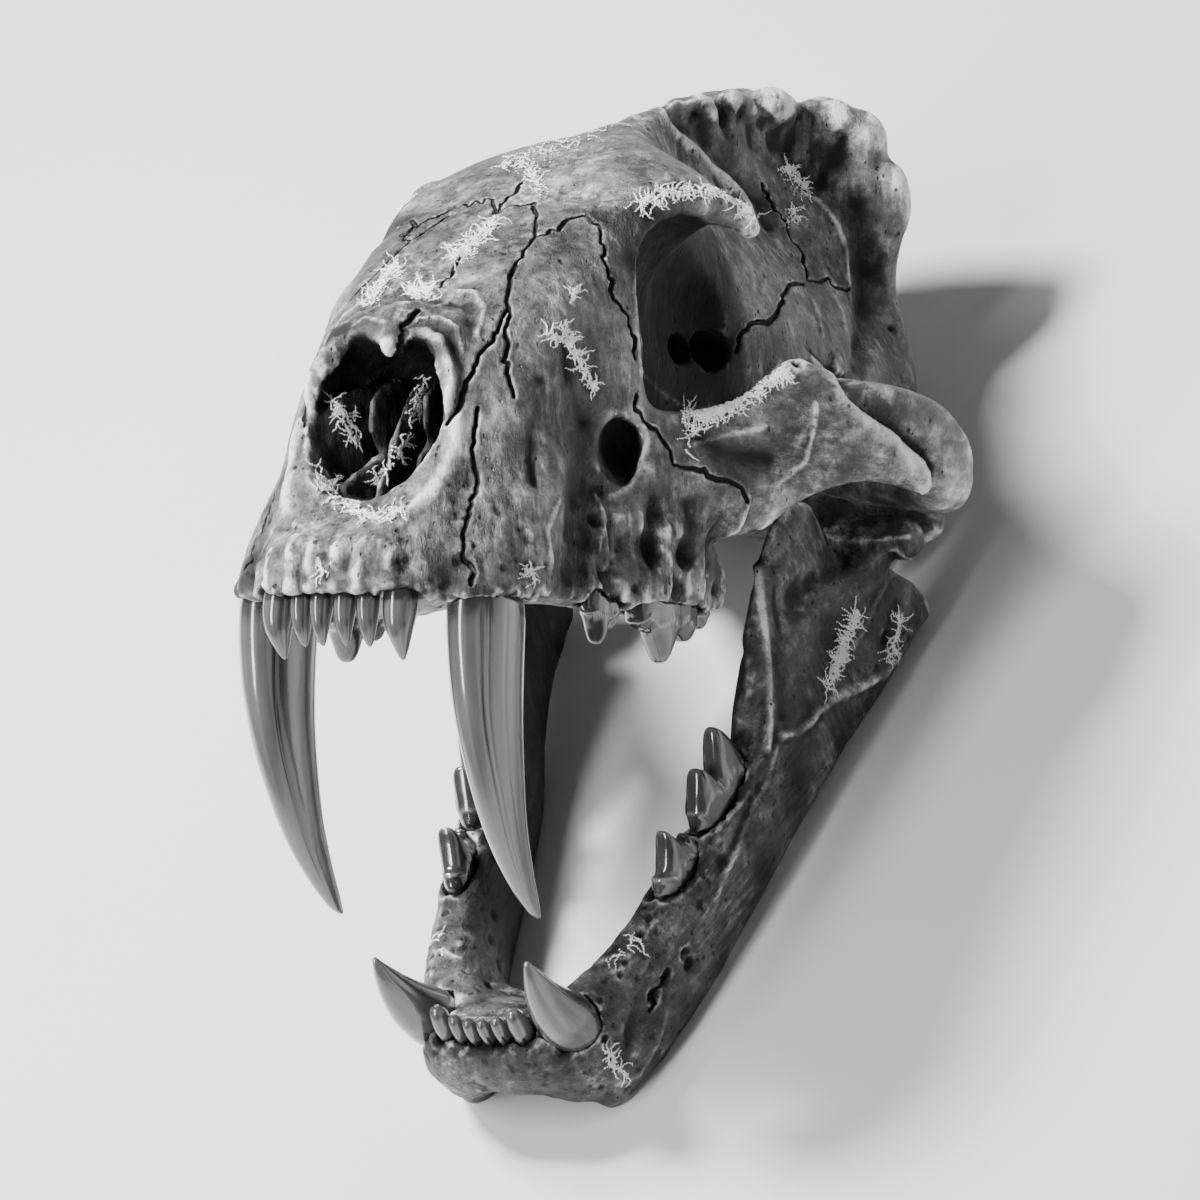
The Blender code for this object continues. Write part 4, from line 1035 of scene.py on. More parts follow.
def skull_relief(points, outward, tree, crack_distance):
    """How far each point of the cranium's skin moves outward, and what its material needs."""
    folds = folded(points)
    x, forward, up = folds[:, 0], -folds[:, 1], folds[:, 2]
    height = 0.45 * smooth_noise(points, 24, 11, 2)

    # Face and braincase have upright fibres, and the cheek bones have lengthwise ones
    cheek = between(x, 58, 70)
    upright = smooth_noise(points, (2.4, 2.4, 15), 21, 2)
    lengthwise = smooth_noise(points, (2.6, 15, 2.6), 22, 2)
    fibres = upright * (1 - cheek) + lengthwise * cheek
    face = between(forward, 60, 110)
    height += fibres * (0.22 + 0.14 * face)

    # Bone round the tooth row, the eye's rim and the nose's floor is pitted and crumbly
    gums = between(up, 4, -10) * between(forward, 76, 90)
    brow = near_points(folds, BROW_HOOK, 13)
    nose_rim = between(forward, 176, 186) * between(up, 24, 6)
    crumbly = np.clip(gums + 0.7 * brow + 0.6 * nose_rim, 0, 1) * between(up, -26, -22)
    inside_nose = between(x, 24, 21) * between(forward, 130, 140) * between(forward, 194, 188)
    inside_nose *= between(up, 1, 6) * between(up, 58, 50)
    height += crumbly * 0.45 * smooth_noise(points, 3.2, 31, 2)
    height += inside_nose * 1.0 * smooth_noise(points, 4.4, 33, 3)
    height -= 0.9 * crumbly * pit_noise(points, 5.5, 41, 0.5)
    height -= (0.12 + 0.45 * crumbly) * pit_noise(points, 3.1, 43, 0.18 + 0.3 * crumbly)
    furrowed = between(up, 14, -2) * between(up, -24, -18) * between(x, 46, 50) * between(forward, 76, 90)
    furrowed *= between(forward, 156, 146)
    height -= furrowed * 1.5 * between(smooth_noise(points, (9, 4.6, 24), 47), 0.0, 0.5)

    # The front teeth's roots show through the bone above them
    snout = between(forward, 192, 200) * between(up, -2, -12)
    for root in INCISOR_ROOTS:
        height += snout * 0.9 * bell(x - root, 1.9)
        height -= snout * 0.5 * bell(x - root - 3.6, 1.1)

    # The crest's sides are drawn down in folds
    crest = between(forward, 64, 50) * between(forward, -60, -52) * between(up, 96, 118)
    height += crest * 1.0 * smooth_noise(points, (12, 6.5, 22), 51, 2)
    height += crest * between(up, 128, 136) * 0.7 * smooth_noise(points, (9, 8, 9), 53)

    # The eye socket and the nose are darkened inside with painted shade
    eye = between(x, 50, 44) * between(forward, 26, 33) * between(forward, 124, 119)
    eye *= between(up, 12, 24) * between(up, 97, 92)
    nose = between(x, 25, 22.5) * between(forward, 190, 184) * between(up, 4, 8) * between(up, 60, 54)
    painted_shade = np.clip(1.2 * eye + nose, 0, 1.2)

    sunk = draw_lines(height, points, SKULL_DEEP_FURROWS, SKULL_PLACE, tree, -3.6, 4.2)
    sunk += draw_lines(height, points, SKULL_BROAD_FURROWS, SKULL_PLACE, tree, -2.0, 5.0)
    sunk += draw_lines(height, points, SKULL_FURROWS, SKULL_PLACE, tree, -1.6, 2.4)
    # Raised lines are also made pale along their crests as painted highlight
    ridge_highlight = draw_lines(height, points, SKULL_THICK_RIDGES, SKULL_PLACE, tree, 1.7, 2.0)
    ridge_highlight += draw_lines(height, points, SKULL_RIDGES, SKULL_PLACE, tree, 0.9, 0.75)
    draw_spots(height, points, SKULL_DENTS, SKULL_PLACE, tree, -1)
    draw_spots(height, points, SKULL_BUMPS, SKULL_PLACE, tree, 1)
    draw_spots(painted_shade, points, SKULL_SHADE_PATCHES, SKULL_PLACE, tree, 1)
    painted_shade *= 0.9 + 0.5 * smooth_noise(points, 8, 97, 2)
    # Furrows are darkened as painted shade
    painted_shade += 0.35 * sunk

    # The cheek bone's tongue stands proud of the bar behind it, with a gap between them
    samples, asides = trails_on_bone([TONGUE_EDGE], SKULL_PLACE, tree)
    distance, nearest = distance_to(samples, folds, 12)
    beside = ((folds - samples[nearest]) * asides[nearest]).sum(1)
    outside = (outward[:, 0] * np.sign(points[:, 0])) > 0.1
    height += outside * (distance < 12) * np.where(beside < 0, 1.2, -1.8) * bell(distance, 6)
    height -= outside * (distance < 12) * 2.2 * bell(beside - 0.8, 1.0) * bell(distance, 8)
    crack = draw_cracks(height, points, crack_distance)
    return height, {"crack": crack, "lengthwise": cheek, "painted_shade": painted_shade, "ridge_highlight": ridge_highlight}


def jaw_relief(points, outward, tree, crack_distance):
    """The same for the lower jaw."""
    folds = folded(points)
    forward, up = -folds[:, 1], folds[:, 2]
    height = 0.4 * smooth_noise(points, 22, 61, 2)

    # The body has lengthwise fibres and the branch behind it upright ones
    branch = between(forward, 70, 50)
    lengthwise = smooth_noise(points, (2.6, 15, 2.6), 62, 2)
    upright = smooth_noise(points, (2.6, 3.0, 16), 63, 2)
    height += 0.26 * (lengthwise * (1 - branch) + upright * branch)

    # Chin and tooth row are pitted and crumbly
    chin = between(forward, 132, 156)
    gums = between(up, -44, -34) * between(forward, 70, 84)
    crumbly = np.clip(chin * 0.8 + gums, 0, 1)
    height += crumbly * 0.38 * smooth_noise(points, 3.4, 64, 2)
    height -= 0.7 * crumbly * pit_noise(points, 5.0, 65, 0.45)
    height -= (0.12 + 0.35 * crumbly) * pit_noise(points, 3.1, 66, 0.18 + 0.25 * crumbly)

    shade_patches = np.zeros(len(points))
    sunk = draw_lines(height, points, JAW_FURROWS, JAW_PLACE, tree, -1.3, 2.4)
    # Raised lines are also made pale along their crests as painted highlight
    ridge_highlight = 0.7 * draw_lines(height, points, JAW_RIDGES, JAW_PLACE, tree, 0.7, 0.9)
    ridge_highlight += draw_lines(height, points, JAW_THICK_RIDGES, JAW_PLACE, tree, 1.7, 1.5)
    draw_spots(shade_patches, points, JAW_SHADE_PATCHES, JAW_PLACE, tree, 1)
    draw_spots(height, points, JAW_DENTS, JAW_PLACE, tree, -1)
    draw_spots(height, points, JAW_BUMPS, JAW_PLACE, tree, 1)

    # The chewing muscle's hollow, the inner sides and the chin's underside are darkened with painted shade
    sideways = outward[:, 0] * np.sign(points[:, 0])
    hollow = near_points(folds, MASSETER_HOLLOW[1:], 22) * between(sideways, 0.0, 0.4)
    height -= 1.6 * hollow * between(forward, 70, 52)
    painted_shade = 0.35 * hollow + 0.9 * between(sideways, -0.1, -0.5) * between(forward, 150, 120)
    painted_shade += 0.5 * between(outward[:, 2], -0.2, -0.7) * between(forward, 130, 160) + shade_patches
    painted_shade *= 0.9 + 0.5 * smooth_noise(points, 8, 98, 2)
    # Furrows are darkened as painted shade
    painted_shade += 0.3 * sunk
    crack = draw_cracks(height, points, crack_distance)
    return height, {"crack": crack, "lengthwise": 1 - branch, "painted_shade": painted_shade, "ridge_highlight": ridge_highlight}


def keep_off_table(points, place):
    """Flattens what would be under the table."""
    turn = np.array(place)[:3, :3]
    world_up = points @ turn[2] + place.translation.z / MM
    sunk = np.minimum(world_up, 0.0)
    return points - sunk[:, None] * turn[2]


def add_attribute(mesh, name, values):
    layer = mesh.attributes.new(name, "FLOAT", "POINT")
    layer.data.foreach_set("value", np.asarray(values, np.float32))


def settle(piece, place, grain=None):
    """Moves the mesh to its place in the part. The material's grain follows the bone's own axes, or
    these other coordinates in millimetres."""
    mesh = piece.data
    grain = points_of(mesh) if grain is None else grain
    layer = mesh.attributes.new("grain", "FLOAT_VECTOR", "POINT")
    layer.data.foreach_set("vector", (grain * MM).astype(np.float32).ravel())
    mesh.transform(place)
    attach(piece, "root")


def openness(mesh, points, outward):
    """How open to the air each point is, from 0 to 1, by rays that meet the bone or don't."""
    tree = tree_of(mesh)
    rng = np.random.default_rng(3)
    spread = rng.normal(size=(AIR_RAYS, 3))
    spread /= np.linalg.norm(spread, axis=1)[:, None]
    starts = (points + outward * 0.6) * MM
    open_share = np.zeros(len(points))
    for direction in spread:
        aims = outward * 1.15 + direction
        aims /= np.linalg.norm(aims, axis=1)[:, None]
        for i, (start, aim) in enumerate(zip(starts.tolist(), aims.tolist())):
            gap = tree.ray_cast(start, aim, AIR_REACH * MM)[3]
            open_share[i] += 1.0 if gap is None else gap / MM / AIR_REACH
    return open_share / AIR_RAYS


def gum_loops(cones, blades, gums):
    """Points round every tooth where it leaves the bone, in millimetres."""
    loops = []
    for name, stations in cones.items():
        rings = np.array(limb_rings(stations, steps=8, sides=36, grow=0.5)) / MM
        loops.append(rings[np.abs(rings[:, :, 2].mean(1) - gums[name]).argmin()])
    for name, stations in blades.items():
        rows = spline(stations, 8)
        for side in (1, -1):
            x = rows[:, 0] + side * (rows[:, 4] + 0.6)
            loops.append(np.stack([x, -rows[:, 1], np.full(len(rows), float(gums[name]))], axis=1))
    return np.concatenate(loops)


def refine_near(mesh, samples, reach):
    """Splits the skin's edges near these points."""
    distance, _ = distance_to(samples, points_of(mesh), reach)
    near = distance < reach
    bm = bmesh.new()
    bm.from_mesh(mesh)
    edges = [e for e in bm.edges if near[e.verts[0].index] and near[e.verts[1].index]]
    bmesh.ops.subdivide_edges(bm, edges=edges, cuts=1, use_grid_fill=True)
    bmesh.ops.triangulate(bm, faces=bm.faces)
    bm.to_mesh(mesh)
    bm.free()


def finish_bone(bone, place, relief, cracks, gums, limit):
    """Carves the skin, thins it to its limit, and stores what the material needs."""
    mesh = bone.data
    tree = tree_of(mesh)
    crack_samples = both_sides(trails_on_bone(cracks, place, tree, waver=1.4, seed=5)[0])
    refine_near(mesh, crack_samples, REFINED)
    points, triangles = points_of(mesh), triangles_of(mesh)
    outward = outward_at(points, triangles)
    crack_distance, _ = distance_to(crack_samples, points, 4)
    height, layers = relief(points, outward, tree, crack_distance)
    gum_distance, _ = distance_to(gums, folded(points), 5)
    height += 0.3 * bell(gum_distance - 2.6, 0.9) - 1.0 * bell(gum_distance, 1.2)
    # Painted shade where the teeth leave the bone
    layers["painted_shade"] = np.clip(layers["painted_shade"] + 1.0 * bell(gum_distance, 2.6), 0, 1.4)
    set_points(mesh, keep_off_table(points + outward * height[:, None], place))
    for name, values in layers.items():
        add_attribute(mesh, name, values)
    if len(triangles) > limit:
        thin = bone.modifiers.new("thin_out", "DECIMATE")
        thin.ratio = limit / len(triangles)
        thin.use_collapse_triangulate = True
        mesh = applied(bone)
    points, triangles, edges = points_of(mesh), triangles_of(mesh), edges_of(mesh)
    outward = outward_at(points, triangles)
    scales = [hollowness(points, edges, outward, rounds) for rounds in (3, 9, 24)]
    # Painted highlight: the sharpest outward edges are made pale in the colour
    add_attribute(mesh, "edge", sum(0.45 * sharpest(-bend, 82, 98) for bend in scales))
    # Painted shade: the deepest creases are darkened in the colour
    add_attribute(mesh, "crevice_shade", sum(0.45 * sharpest(bend, 80, 97) for bend in scales))
    # How open each point is to the air; the material darkens closed-in places with it as painted shade
    air = openness(mesh, points, outward)
    for _ in range(2):
        air = 0.5 * air + 0.5 * neighbour_mean(air, edges)
    add_attribute(mesh, "openness", air)
    mesh.shade_smooth()


def hollowness(points, edges, outward, rounds):
    """How far inward each point lies of the relaxed surface; more rounds see broader hollows."""
    return ((relaxed(points, edges, rounds) - points) * outward).sum(1)


def sharpest(values, low, high):
    """1 where the values are among the highest, by percentiles, and 0 up to the lower percentile."""
    return between(values, *np.percentile(values, (low, high)))


def neighbour_mean(values, edges):
    count = np.maximum(np.bincount(edges.ravel(), minlength=len(values)), 1)
    total = np.bincount(edges[:, 0], values[edges[:, 1]], len(values))
    total += np.bincount(edges[:, 1], values[edges[:, 0]], len(values))
    return total / count


def shader_node(tree, kind, values=None, **settings):
    """A shader node. Values set its sockets, and a value that is another node's socket is linked."""
    made = tree.nodes.new(kind)
    for name, value in settings.items():
        setattr(made, name, value)
    for name, value in (values or {}).items():
        socket = made.inputs[name]
        if isinstance(value, bpy.types.NodeSocket):
            tree.links.new(value, socket)
        else:
            socket.default_value = value
    return made


def maths(tree, operation, a, b, clamp=False):
    return shader_node(tree, "ShaderNodeMath", {0: a, 1: b}, operation=operation, use_clamp=clamp).outputs[0]


def weighed(tree, *pairs, start=0.0):
    """A sum of sockets, each times its weight."""
    total = start
    for socket, weight in pairs:
        made = shader_node(tree, "ShaderNodeMath", {0: socket, 1: weight, 2: total}, operation="MULTIPLY_ADD")
        total = made.outputs[0]
    return total


def noise_value(tree, place, scale, detail, roughness=0.6, stretch=(1, 1, 1)):
    """Noise about 0, from -0.5 to 0.5. A stretch under 1 draws it out along that axis."""
    mapped = shader_node(tree, "ShaderNodeMapping", {"Vector": place, "Scale": stretch}).outputs[0]
    values = {"Vector": mapped, "Scale": scale, "Detail": detail, "Roughness": roughness}
    noise = shader_node(tree, "ShaderNodeTexNoise", values).outputs["Fac"]
    return maths(tree, "SUBTRACT", noise, 0.5)


def attribute(tree, name, output="Fac"):
    return shader_node(tree, "ShaderNodeAttribute", attribute_name=name).outputs[output]


def remapped(tree, socket, low, high, to_low=0.0, to_high=1.0):
    values = {"Value": socket, "From Min": low, "From Max": high, "To Min": to_low, "To Max": to_high}
    return shader_node(tree, "ShaderNodeMapRange", values, interpolation_type="SMOOTHSTEP").outputs["Result"]


def grey_ramp(tree, factor, stops):
    """Neutral grey by factor; stops are (factor, grey)."""
    made = shader_node(tree, "ShaderNodeValToRGB", {"Fac": factor})
    ramp = made.color_ramp
    while len(ramp.elements) < len(stops):
        ramp.elements.new(0.5)
    for element, (position, grey) in zip(ramp.elements, stops):
        element.position = position
        element.color = (grey, grey, grey, 1.0)
    return made.outputs["Color"]


def pits(tree, place, scale, chance, stretch=(1, 1, 1)):
    """1 in scattered small holes."""
    mapped = shader_node(tree, "ShaderNodeMapping", {"Vector": place, "Scale": stretch}).outputs[0]
    cells = shader_node(tree, "ShaderNodeTexVoronoi", {"Vector": mapped, "Scale": scale})
    hole = remapped(tree, cells.outputs["Distance"], 0.30, 0.10)
    pick = shader_node(tree, "ShaderNodeSeparateColor", {"Color": cells.outputs["Color"]}).outputs["Red"]
    return maths(tree, "MULTIPLY", hole, maths(tree, "LESS_THAN", pick, chance))


def new_material(name):
    """A plain material: itself, its nodes and its shader."""
    material = bpy.data.materials.new(name)
    material.use_nodes = True
    tree = material.node_tree
    return material, tree, tree.nodes["Principled BSDF"]


def bone_material(name, tone):
    """Grey fossil bone: fibrous and mottled, with dark cracks; painted shade in its hollows, creases, pits,
    furrows and dark patches, and painted highlights on its edges, ridges and crack lips.
    """
    material, tree, shader = new_material(name)
    place = attribute(tree, "grain", "Vector")
    lengthwise = attribute(tree, "lengthwise")

    blotch = noise_value(tree, place, 30, 4, 0.55)
    mottle = noise_value(tree, place, 150, 7, 0.72)
    grit = noise_value(tree, place, 1100, 4, 0.75)
    upright = noise_value(tree, place, 430, 6, 0.68, (1, 1, 0.16))
    along = noise_value(tree, place, 430, 6, 0.68, (1, 0.16, 1))
    fibre = shader_node(tree, "ShaderNodeMix", {"Factor": lengthwise, "A": upright, "B": along}).outputs[0]
    fibrous = remapped(tree, noise_value(tree, place, 55, 3), -0.10, 0.14, 0.15, 1.0)
    fibre = maths(tree, "MULTIPLY", fibre, fibrous)
    # The small holes are also darkened in the colour below as painted shade
    small_holes = maths(
        tree, "ADD", pits(tree, place, 300, 0.08), pits(tree, place, 650, 0.12, (1, 1, 0.5)), clamp=True
    )

    # Painted highlight on sharp edges and raised lines
    edge = maths(tree, "MAXIMUM", attribute(tree, "edge"), attribute(tree, "ridge_highlight"))
    # Painted shade in creases
    crevice_shade = attribute(tree, "crevice_shade")
    crack = remapped(tree, attribute(tree, "crack"), 0.14, 0.55)
    # Painted highlight on the lips beside each crack
    crack_lip_highlight = maths(tree, "SUBTRACT", remapped(tree, attribute(tree, "crack"), 0.004, 0.08), crack)
    # Painted shade in the eye socket, nose, furrows, hollows, undersides, gum lines and dark patches
    painted_shade = attribute(tree, "painted_shade")
    # Painted shade: places closed in by the bone are darker
    shade = remapped(tree, attribute(tree, "openness"), 0.15, 0.95)
    level = weighed(
        tree, (blotch, 0.85), (mottle, 1.15), (fibre, 1.35), (grit, 0.25), (edge, 0.40), (crevice_shade, -0.42),
        (crack, -1.3), (crack_lip_highlight, 0.10), (small_holes, -0.36), (shade, 0.60), (painted_shade, -0.50), start=tone - 0.60,
    )
    stops = ((0.0, 0.002), (0.2, 0.012), (0.42, 0.058), (0.6, 0.16), (0.8, 0.42), (1.0, 0.82))
    tree.links.new(grey_ramp(tree, level, stops), shader.inputs["Base Color"])

    relief = weighed(tree, (mottle, 0.9), (fibre, 1.3), (grit, 0.25), (small_holes, -0.6), (crack, -0.3))
    bump = shader_node(tree, "ShaderNodeBump", {"Height": relief, "Strength": 0.9, "Distance": 0.0016})
    tree.links.new(bump.outputs["Normal"], shader.inputs["Normal"])
    rough = weighed(tree, (mottle, 0.3), (edge, -0.10), (crevice_shade, 0.2), (painted_shade, 0.3), start=0.36)
    tree.links.new(rough, shader.inputs["Roughness"])
    shader.inputs["Specular IOR Level"].default_value = 0.5
    return material


def enamel_material():
    """Polished grey enamel with painted shade in its grooves and broad bands, darker at the gum, with painted
    highlights on its edges.
    """
    material, tree, shader = new_material("enamel_polished")
    place = attribute(tree, "grain", "Vector")
    crown = attribute(tree, "crown")
    # Painted highlight on the tooth's sharp edges
    edge = attribute(tree, "edge")
    # Painted shade in the grooves and broad bands
    groove_shade = attribute(tree, "groove_shade")
    streak = noise_value(tree, place, 520, 4, 0.6, (1, 1, 0.02))
    cloud = noise_value(tree, place, 90, 4, 0.6, (1, 1, 0.25))
    fine = noise_value(tree, place, 1500, 3, 0.6, (1, 1, 0.3))
    neck = remapped(tree, crown, 0.0, 0.10)
    pale = attribute(tree, "pale")
    level = weighed(
        tree, (streak, 0.20), (cloud, 0.34), (fine, 0.04), (edge, 0.45), (groove_shade, -0.55), (neck, 0.24),
        (pale, 0.08), start=0.09,
    )
    stops = ((0.0, 0.006), (0.25, 0.035), (0.45, 0.11), (0.65, 0.26), (0.85, 0.56), (1.0, 0.86))
    tree.links.new(grey_ramp(tree, level, stops), shader.inputs["Base Color"])
    relief = weighed(tree, (streak, 0.5), (fine, 0.06), (cloud, 0.1))
    bump = shader_node(tree, "ShaderNodeBump", {"Height": relief, "Strength": 0.25, "Distance": 0.00015})
    tree.links.new(bump.outputs["Normal"], shader.inputs["Normal"])
    rough = weighed(tree, (streak, 0.08), (neck, -0.08), start=0.27)
    tree.links.new(rough, shader.inputs["Roughness"])
    shader.inputs["Specular IOR Level"].default_value = 0.6
    shader.inputs["Coat Weight"].default_value = 1.0
    shader.inputs["Coat Roughness"].default_value = 0.12
    return material


def crust_material():
    """White mineral crystals."""
    material, tree, shader = new_material("mineral_crust")
    place = attribute(tree, "grain", "Vector")
    cloud = noise_value(tree, place, 500, 4)
    level = weighed(tree, (cloud, 0.5), start=0.92)
    stops = ((0.0, 0.6), (0.5, 0.85), (1.0, 0.97))
    tree.links.new(grey_ramp(tree, level, stops), shader.inputs["Base Color"])
    bump = shader_node(tree, "ShaderNodeBump", {"Height": cloud, "Strength": 0.5, "Distance": 0.0003})
    tree.links.new(bump.outputs["Normal"], shader.inputs["Normal"])
    shader.inputs["Roughness"].default_value = 0.48
    return material


def floor_material():
    """A pale, faintly uneven floor."""
    material, tree, shader = new_material("studio_floor")
    place = shader_node(tree, "ShaderNodeTexCoord").outputs["Object"]
    cloud = noise_value(tree, place, 6, 3)
    stops = ((0.0, 0.70), (1.0, 0.74))
    tree.links.new(grey_ramp(tree, maths(tree, "ADD", cloud, 0.5), stops), shader.inputs["Base Color"])
    shader.inputs["Roughness"].default_value = 0.8
    return material


def tooth_piece(name, rings, place, material, gum, tip, grooves):
    """A finely faceted tooth that stands for its CAD solid. A pointed one has grooves down its length,
    at angles round it; one without them is a blade, with a low zigzag ridge round its base."""
    bm = bmesh.new()
    add_loft(bm, rings)
    bmesh.ops.triangulate(bm, faces=bm.faces)
    tooth = new_object(f"{name}_looks", bm, material)
    mesh = tooth.data
    points, triangles, edges = points_of(mesh), triangles_of(mesh), edges_of(mesh)
    outward = outward_at(points, triangles)
    crown = np.clip((points[:, 2] - gum) / (tip - gum), 0, 1)
    height = 0.05 * smooth_noise(points, (3, 3, 24), 72, 2)
    groove_shade = np.zeros(len(points))
    ridge = np.zeros(len(points))
    if grooves:
        sides = len(rings[0])
        turn = np.tile(np.arange(sides) * 2 * math.pi / sides, len(rings))
        turn += 0.10 * smooth_noise(points * (0, 0, 1), 30, 71)
        for angle, width, depth in grooves:
            gap = np.abs((turn - angle + math.pi) % (2 * math.pi) - math.pi)
            groove_shade += depth * bell(gap, width)
        groove_shade *= between(crown, 1.0, 0.7) * between(crown, 0.0, 0.06)
        grain = np.stack([np.cos(turn) * GRAIN_RADIUS, np.sin(turn) * GRAIN_RADIUS, points[:, 2]], axis=1)
    else:
        zigzag = RIDGE_LOW + RIDGE_RISE * np.abs(np.sin(points[:, 1] / RIDGE_PITCH))
        ridge = bell(crown - zigzag, 0.05)
        grain = points
    height += 0.45 * ridge - 0.35 * groove_shade
    set_points(mesh, points + outward * height[:, None])
    points = points_of(mesh)
    outward = outward_at(points, triangles)
    # Painted highlight on the sharpest edges, and on a blade's zigzag ridge
    edge = sharpest(-hollowness(points, edges, outward, 5), 80, 99)
    if not grooves:
        edge = BLADE_EDGE_HIGHLIGHT * edge + RIDGE_SHINE * ridge
    add_attribute(mesh, "edge", np.clip(edge, 0, 1))
    add_attribute(mesh, "crown", crown)
    # The grooves and broad bands are darkened in the colour as painted shade
    add_attribute(mesh, "groove_shade", np.clip(groove_shade, 0, 1))
    add_attribute(mesh, "pale", np.full(len(points), 1.0 if grooves else BLADE_TONE))
    mesh.shade_smooth()
    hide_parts(name)
    settle(tooth, place, grain)


def sockets_of(cones, blades):
    """The shape of one jaw's sockets, a gap wider than the teeth."""
    sockets = bmesh.new()
    for side in (1, -1):
        for stations in cones.values():
            add_loft(sockets, limb_rings(mirrored_stations(stations, side), steps=1, grow=SOCKET_GAP))
        for stations in blades.values():
            add_loft(sockets, plate_rings(mirrored_stations(stations, side), steps=1, grow=SOCKET_GAP))
    return sockets


def dress_teeth(cones, blades, place, gums, points_down, material):
    """All of one jaw's teeth; gums are the heights where the crowns leave the bone."""
    for side, label in ((1, "left"), (-1, "right")):
        for name, stations in cones.items():
            placed = mirrored_stations(stations, side)
            sabre = name == "upper_canine"
            keel = SABRE_KEEL if sabre else CONE_KEEL
            sides = SABRE_SIDES if sabre else TOOTH_SIDES
            rings = limb_rings(placed, steps=TOOTH_STEPS, sides=sides, keel=keel)
            grooves = SABRE_GROOVES if sabre else CONE_GROOVES
            if side < 0:
                grooves = [(math.pi - angle, width, depth) for angle, width, depth in grooves]
            tip = stations[-1][2]
            tooth_piece(f"{name}_{label}", rings, place, material, gums[name], tip, grooves)
        for name, stations in blades.items():
            placed = mirrored_stations(stations, side)
            rings = plate_rings(placed, steps=TOOTH_STEPS, sides=TOOTH_SIDES)
            edges = [row[2] for row in stations]
            tip = min(edges) if points_down else max(edges)
            tooth_piece(f"{name}_{label}", rings, place, material, gums[name], tip, ())


def add_crystal(bm, root, aim, length, width, rng):
    """A three-sided spike that stands on the bone."""
    side = aim.orthogonal().normalized()
    side.rotate(Quaternion(aim, rng.uniform(0, math.pi)))
    other = aim.cross(side)
    base = root - aim * width
    ring = [bm.verts.new(base + (side * c + other * s) * width) for c, s in THIRDS]
    tip = bm.verts.new(root + aim * length)
    for i in range(3):
        bm.faces.new((ring[i], ring[(i + 1) % 3], tip))


def add_branch(bm, spots, normals, rng):
    """Spikes along a line of places on the bone, with shorter ones that fork from it on both sides."""
    for step, (spot, following, normal) in enumerate(zip(spots, spots[1:], normals)):
        course = following - spot
        if course.length > BRANCH_GAP or course.length < 0.1:
            return
        size = 1.0 - 0.55 * step / len(spots)
        width = CRYSTAL_WIDTH * size
        course = course.normalized()
        root = spot + normal * width
        lifted = (course + normal * rng.uniform(0.0, 0.5)).normalized()
        add_crystal(bm, root, lifted, CRYSTAL_LENGTH * rng.uniform(0.9, 1.5), width, rng)
        across = normal.cross(course)
        for side in (1, -1):
            fork = course * rng.uniform(0.2, 0.9) + across * side + normal * rng.uniform(0.0, 0.8)
            length = CRYSTAL_LENGTH * size * rng.uniform(0.4, 1.1)
            add_crystal(bm, root, fork.normalized(), length, width * 0.75, rng)


def frost_walk(start, rng):
    """Pixels of one wandering branch of crust."""
    heading = rng.uniform(0, 2 * math.pi)
    spot = np.array(start, float)
    pixels = [spot.copy()]
    for _ in range(int(rng.integers(3, 8))):
        heading += rng.normal(0, 0.45)
        spot += CRUST_STEP * np.array((math.cos(heading), math.sin(heading)))
        pixels.append(spot.copy())
    return pixels


def mirrored_branch(spots, normals, tree):
    """The same line of places on the right side of the bone, as far as the bone is there."""
    hits, outward = [], []
    for spot, normal in zip(spots, normals):
        above = spot + normal * MIRROR_REACH
        start = Vector((-above.x, above.y, above.z))
        aim = Vector((normal.x, -normal.y, -normal.z))
        hit, out, _, _ = tree.ray_cast(start * MM, aim, 2 * MIRROR_REACH * MM)
        if hit is None:
            break
        hits.append(hit / MM)
        outward.append(out)
    return hits, outward


def grow_crust(name, bone, patches, place, material):
    """Branching white crystals over the patches, and more thinly over their mirror images."""
    tree = tree_of(bone.data)
    rng = np.random.default_rng(17)
    bm = bmesh.new()
    for trail, spread, count in patches:
        path = np.array(pixel_trail(trail))
        starts = path[rng.integers(0, len(path), count)] + rng.normal(0, spread / 3, (count, 2))
        for start in starts:
            places, outward = on_bone(frost_walk(start, rng), place, tree)
            spots = [Vector(spot) for spot in places]
            normals = [Vector(normal) for normal in outward]
            add_branch(bm, spots, normals, rng)
            if rng.random() < MIRRORED_SHARE and spots and spots[0].x > MIRRORED_FROM:
                add_branch(bm, *mirrored_branch(spots, normals, tree), rng)
    bmesh.ops.scale(bm, vec=(MM, MM, MM), verts=bm.verts)
    crust = new_object(name, bm, material)
    settle(crust, place)


def area_light(name, place, toward, size, power):
    """A soft round lamp that looks back along this direction."""
    lamp = bpy.data.lights.new(name, "AREA")
    lamp.shape = "DISK"
    lamp.size = size
    lamp.energy = power
    made = bpy.data.objects.new(name, lamp)
    made.location = place
    made.rotation_mode = "QUATERNION"
    made.rotation_quaternion = (-toward).to_track_quat("-Z", "Y")
    bpy.context.scene.collection.objects.link(made)
    return made


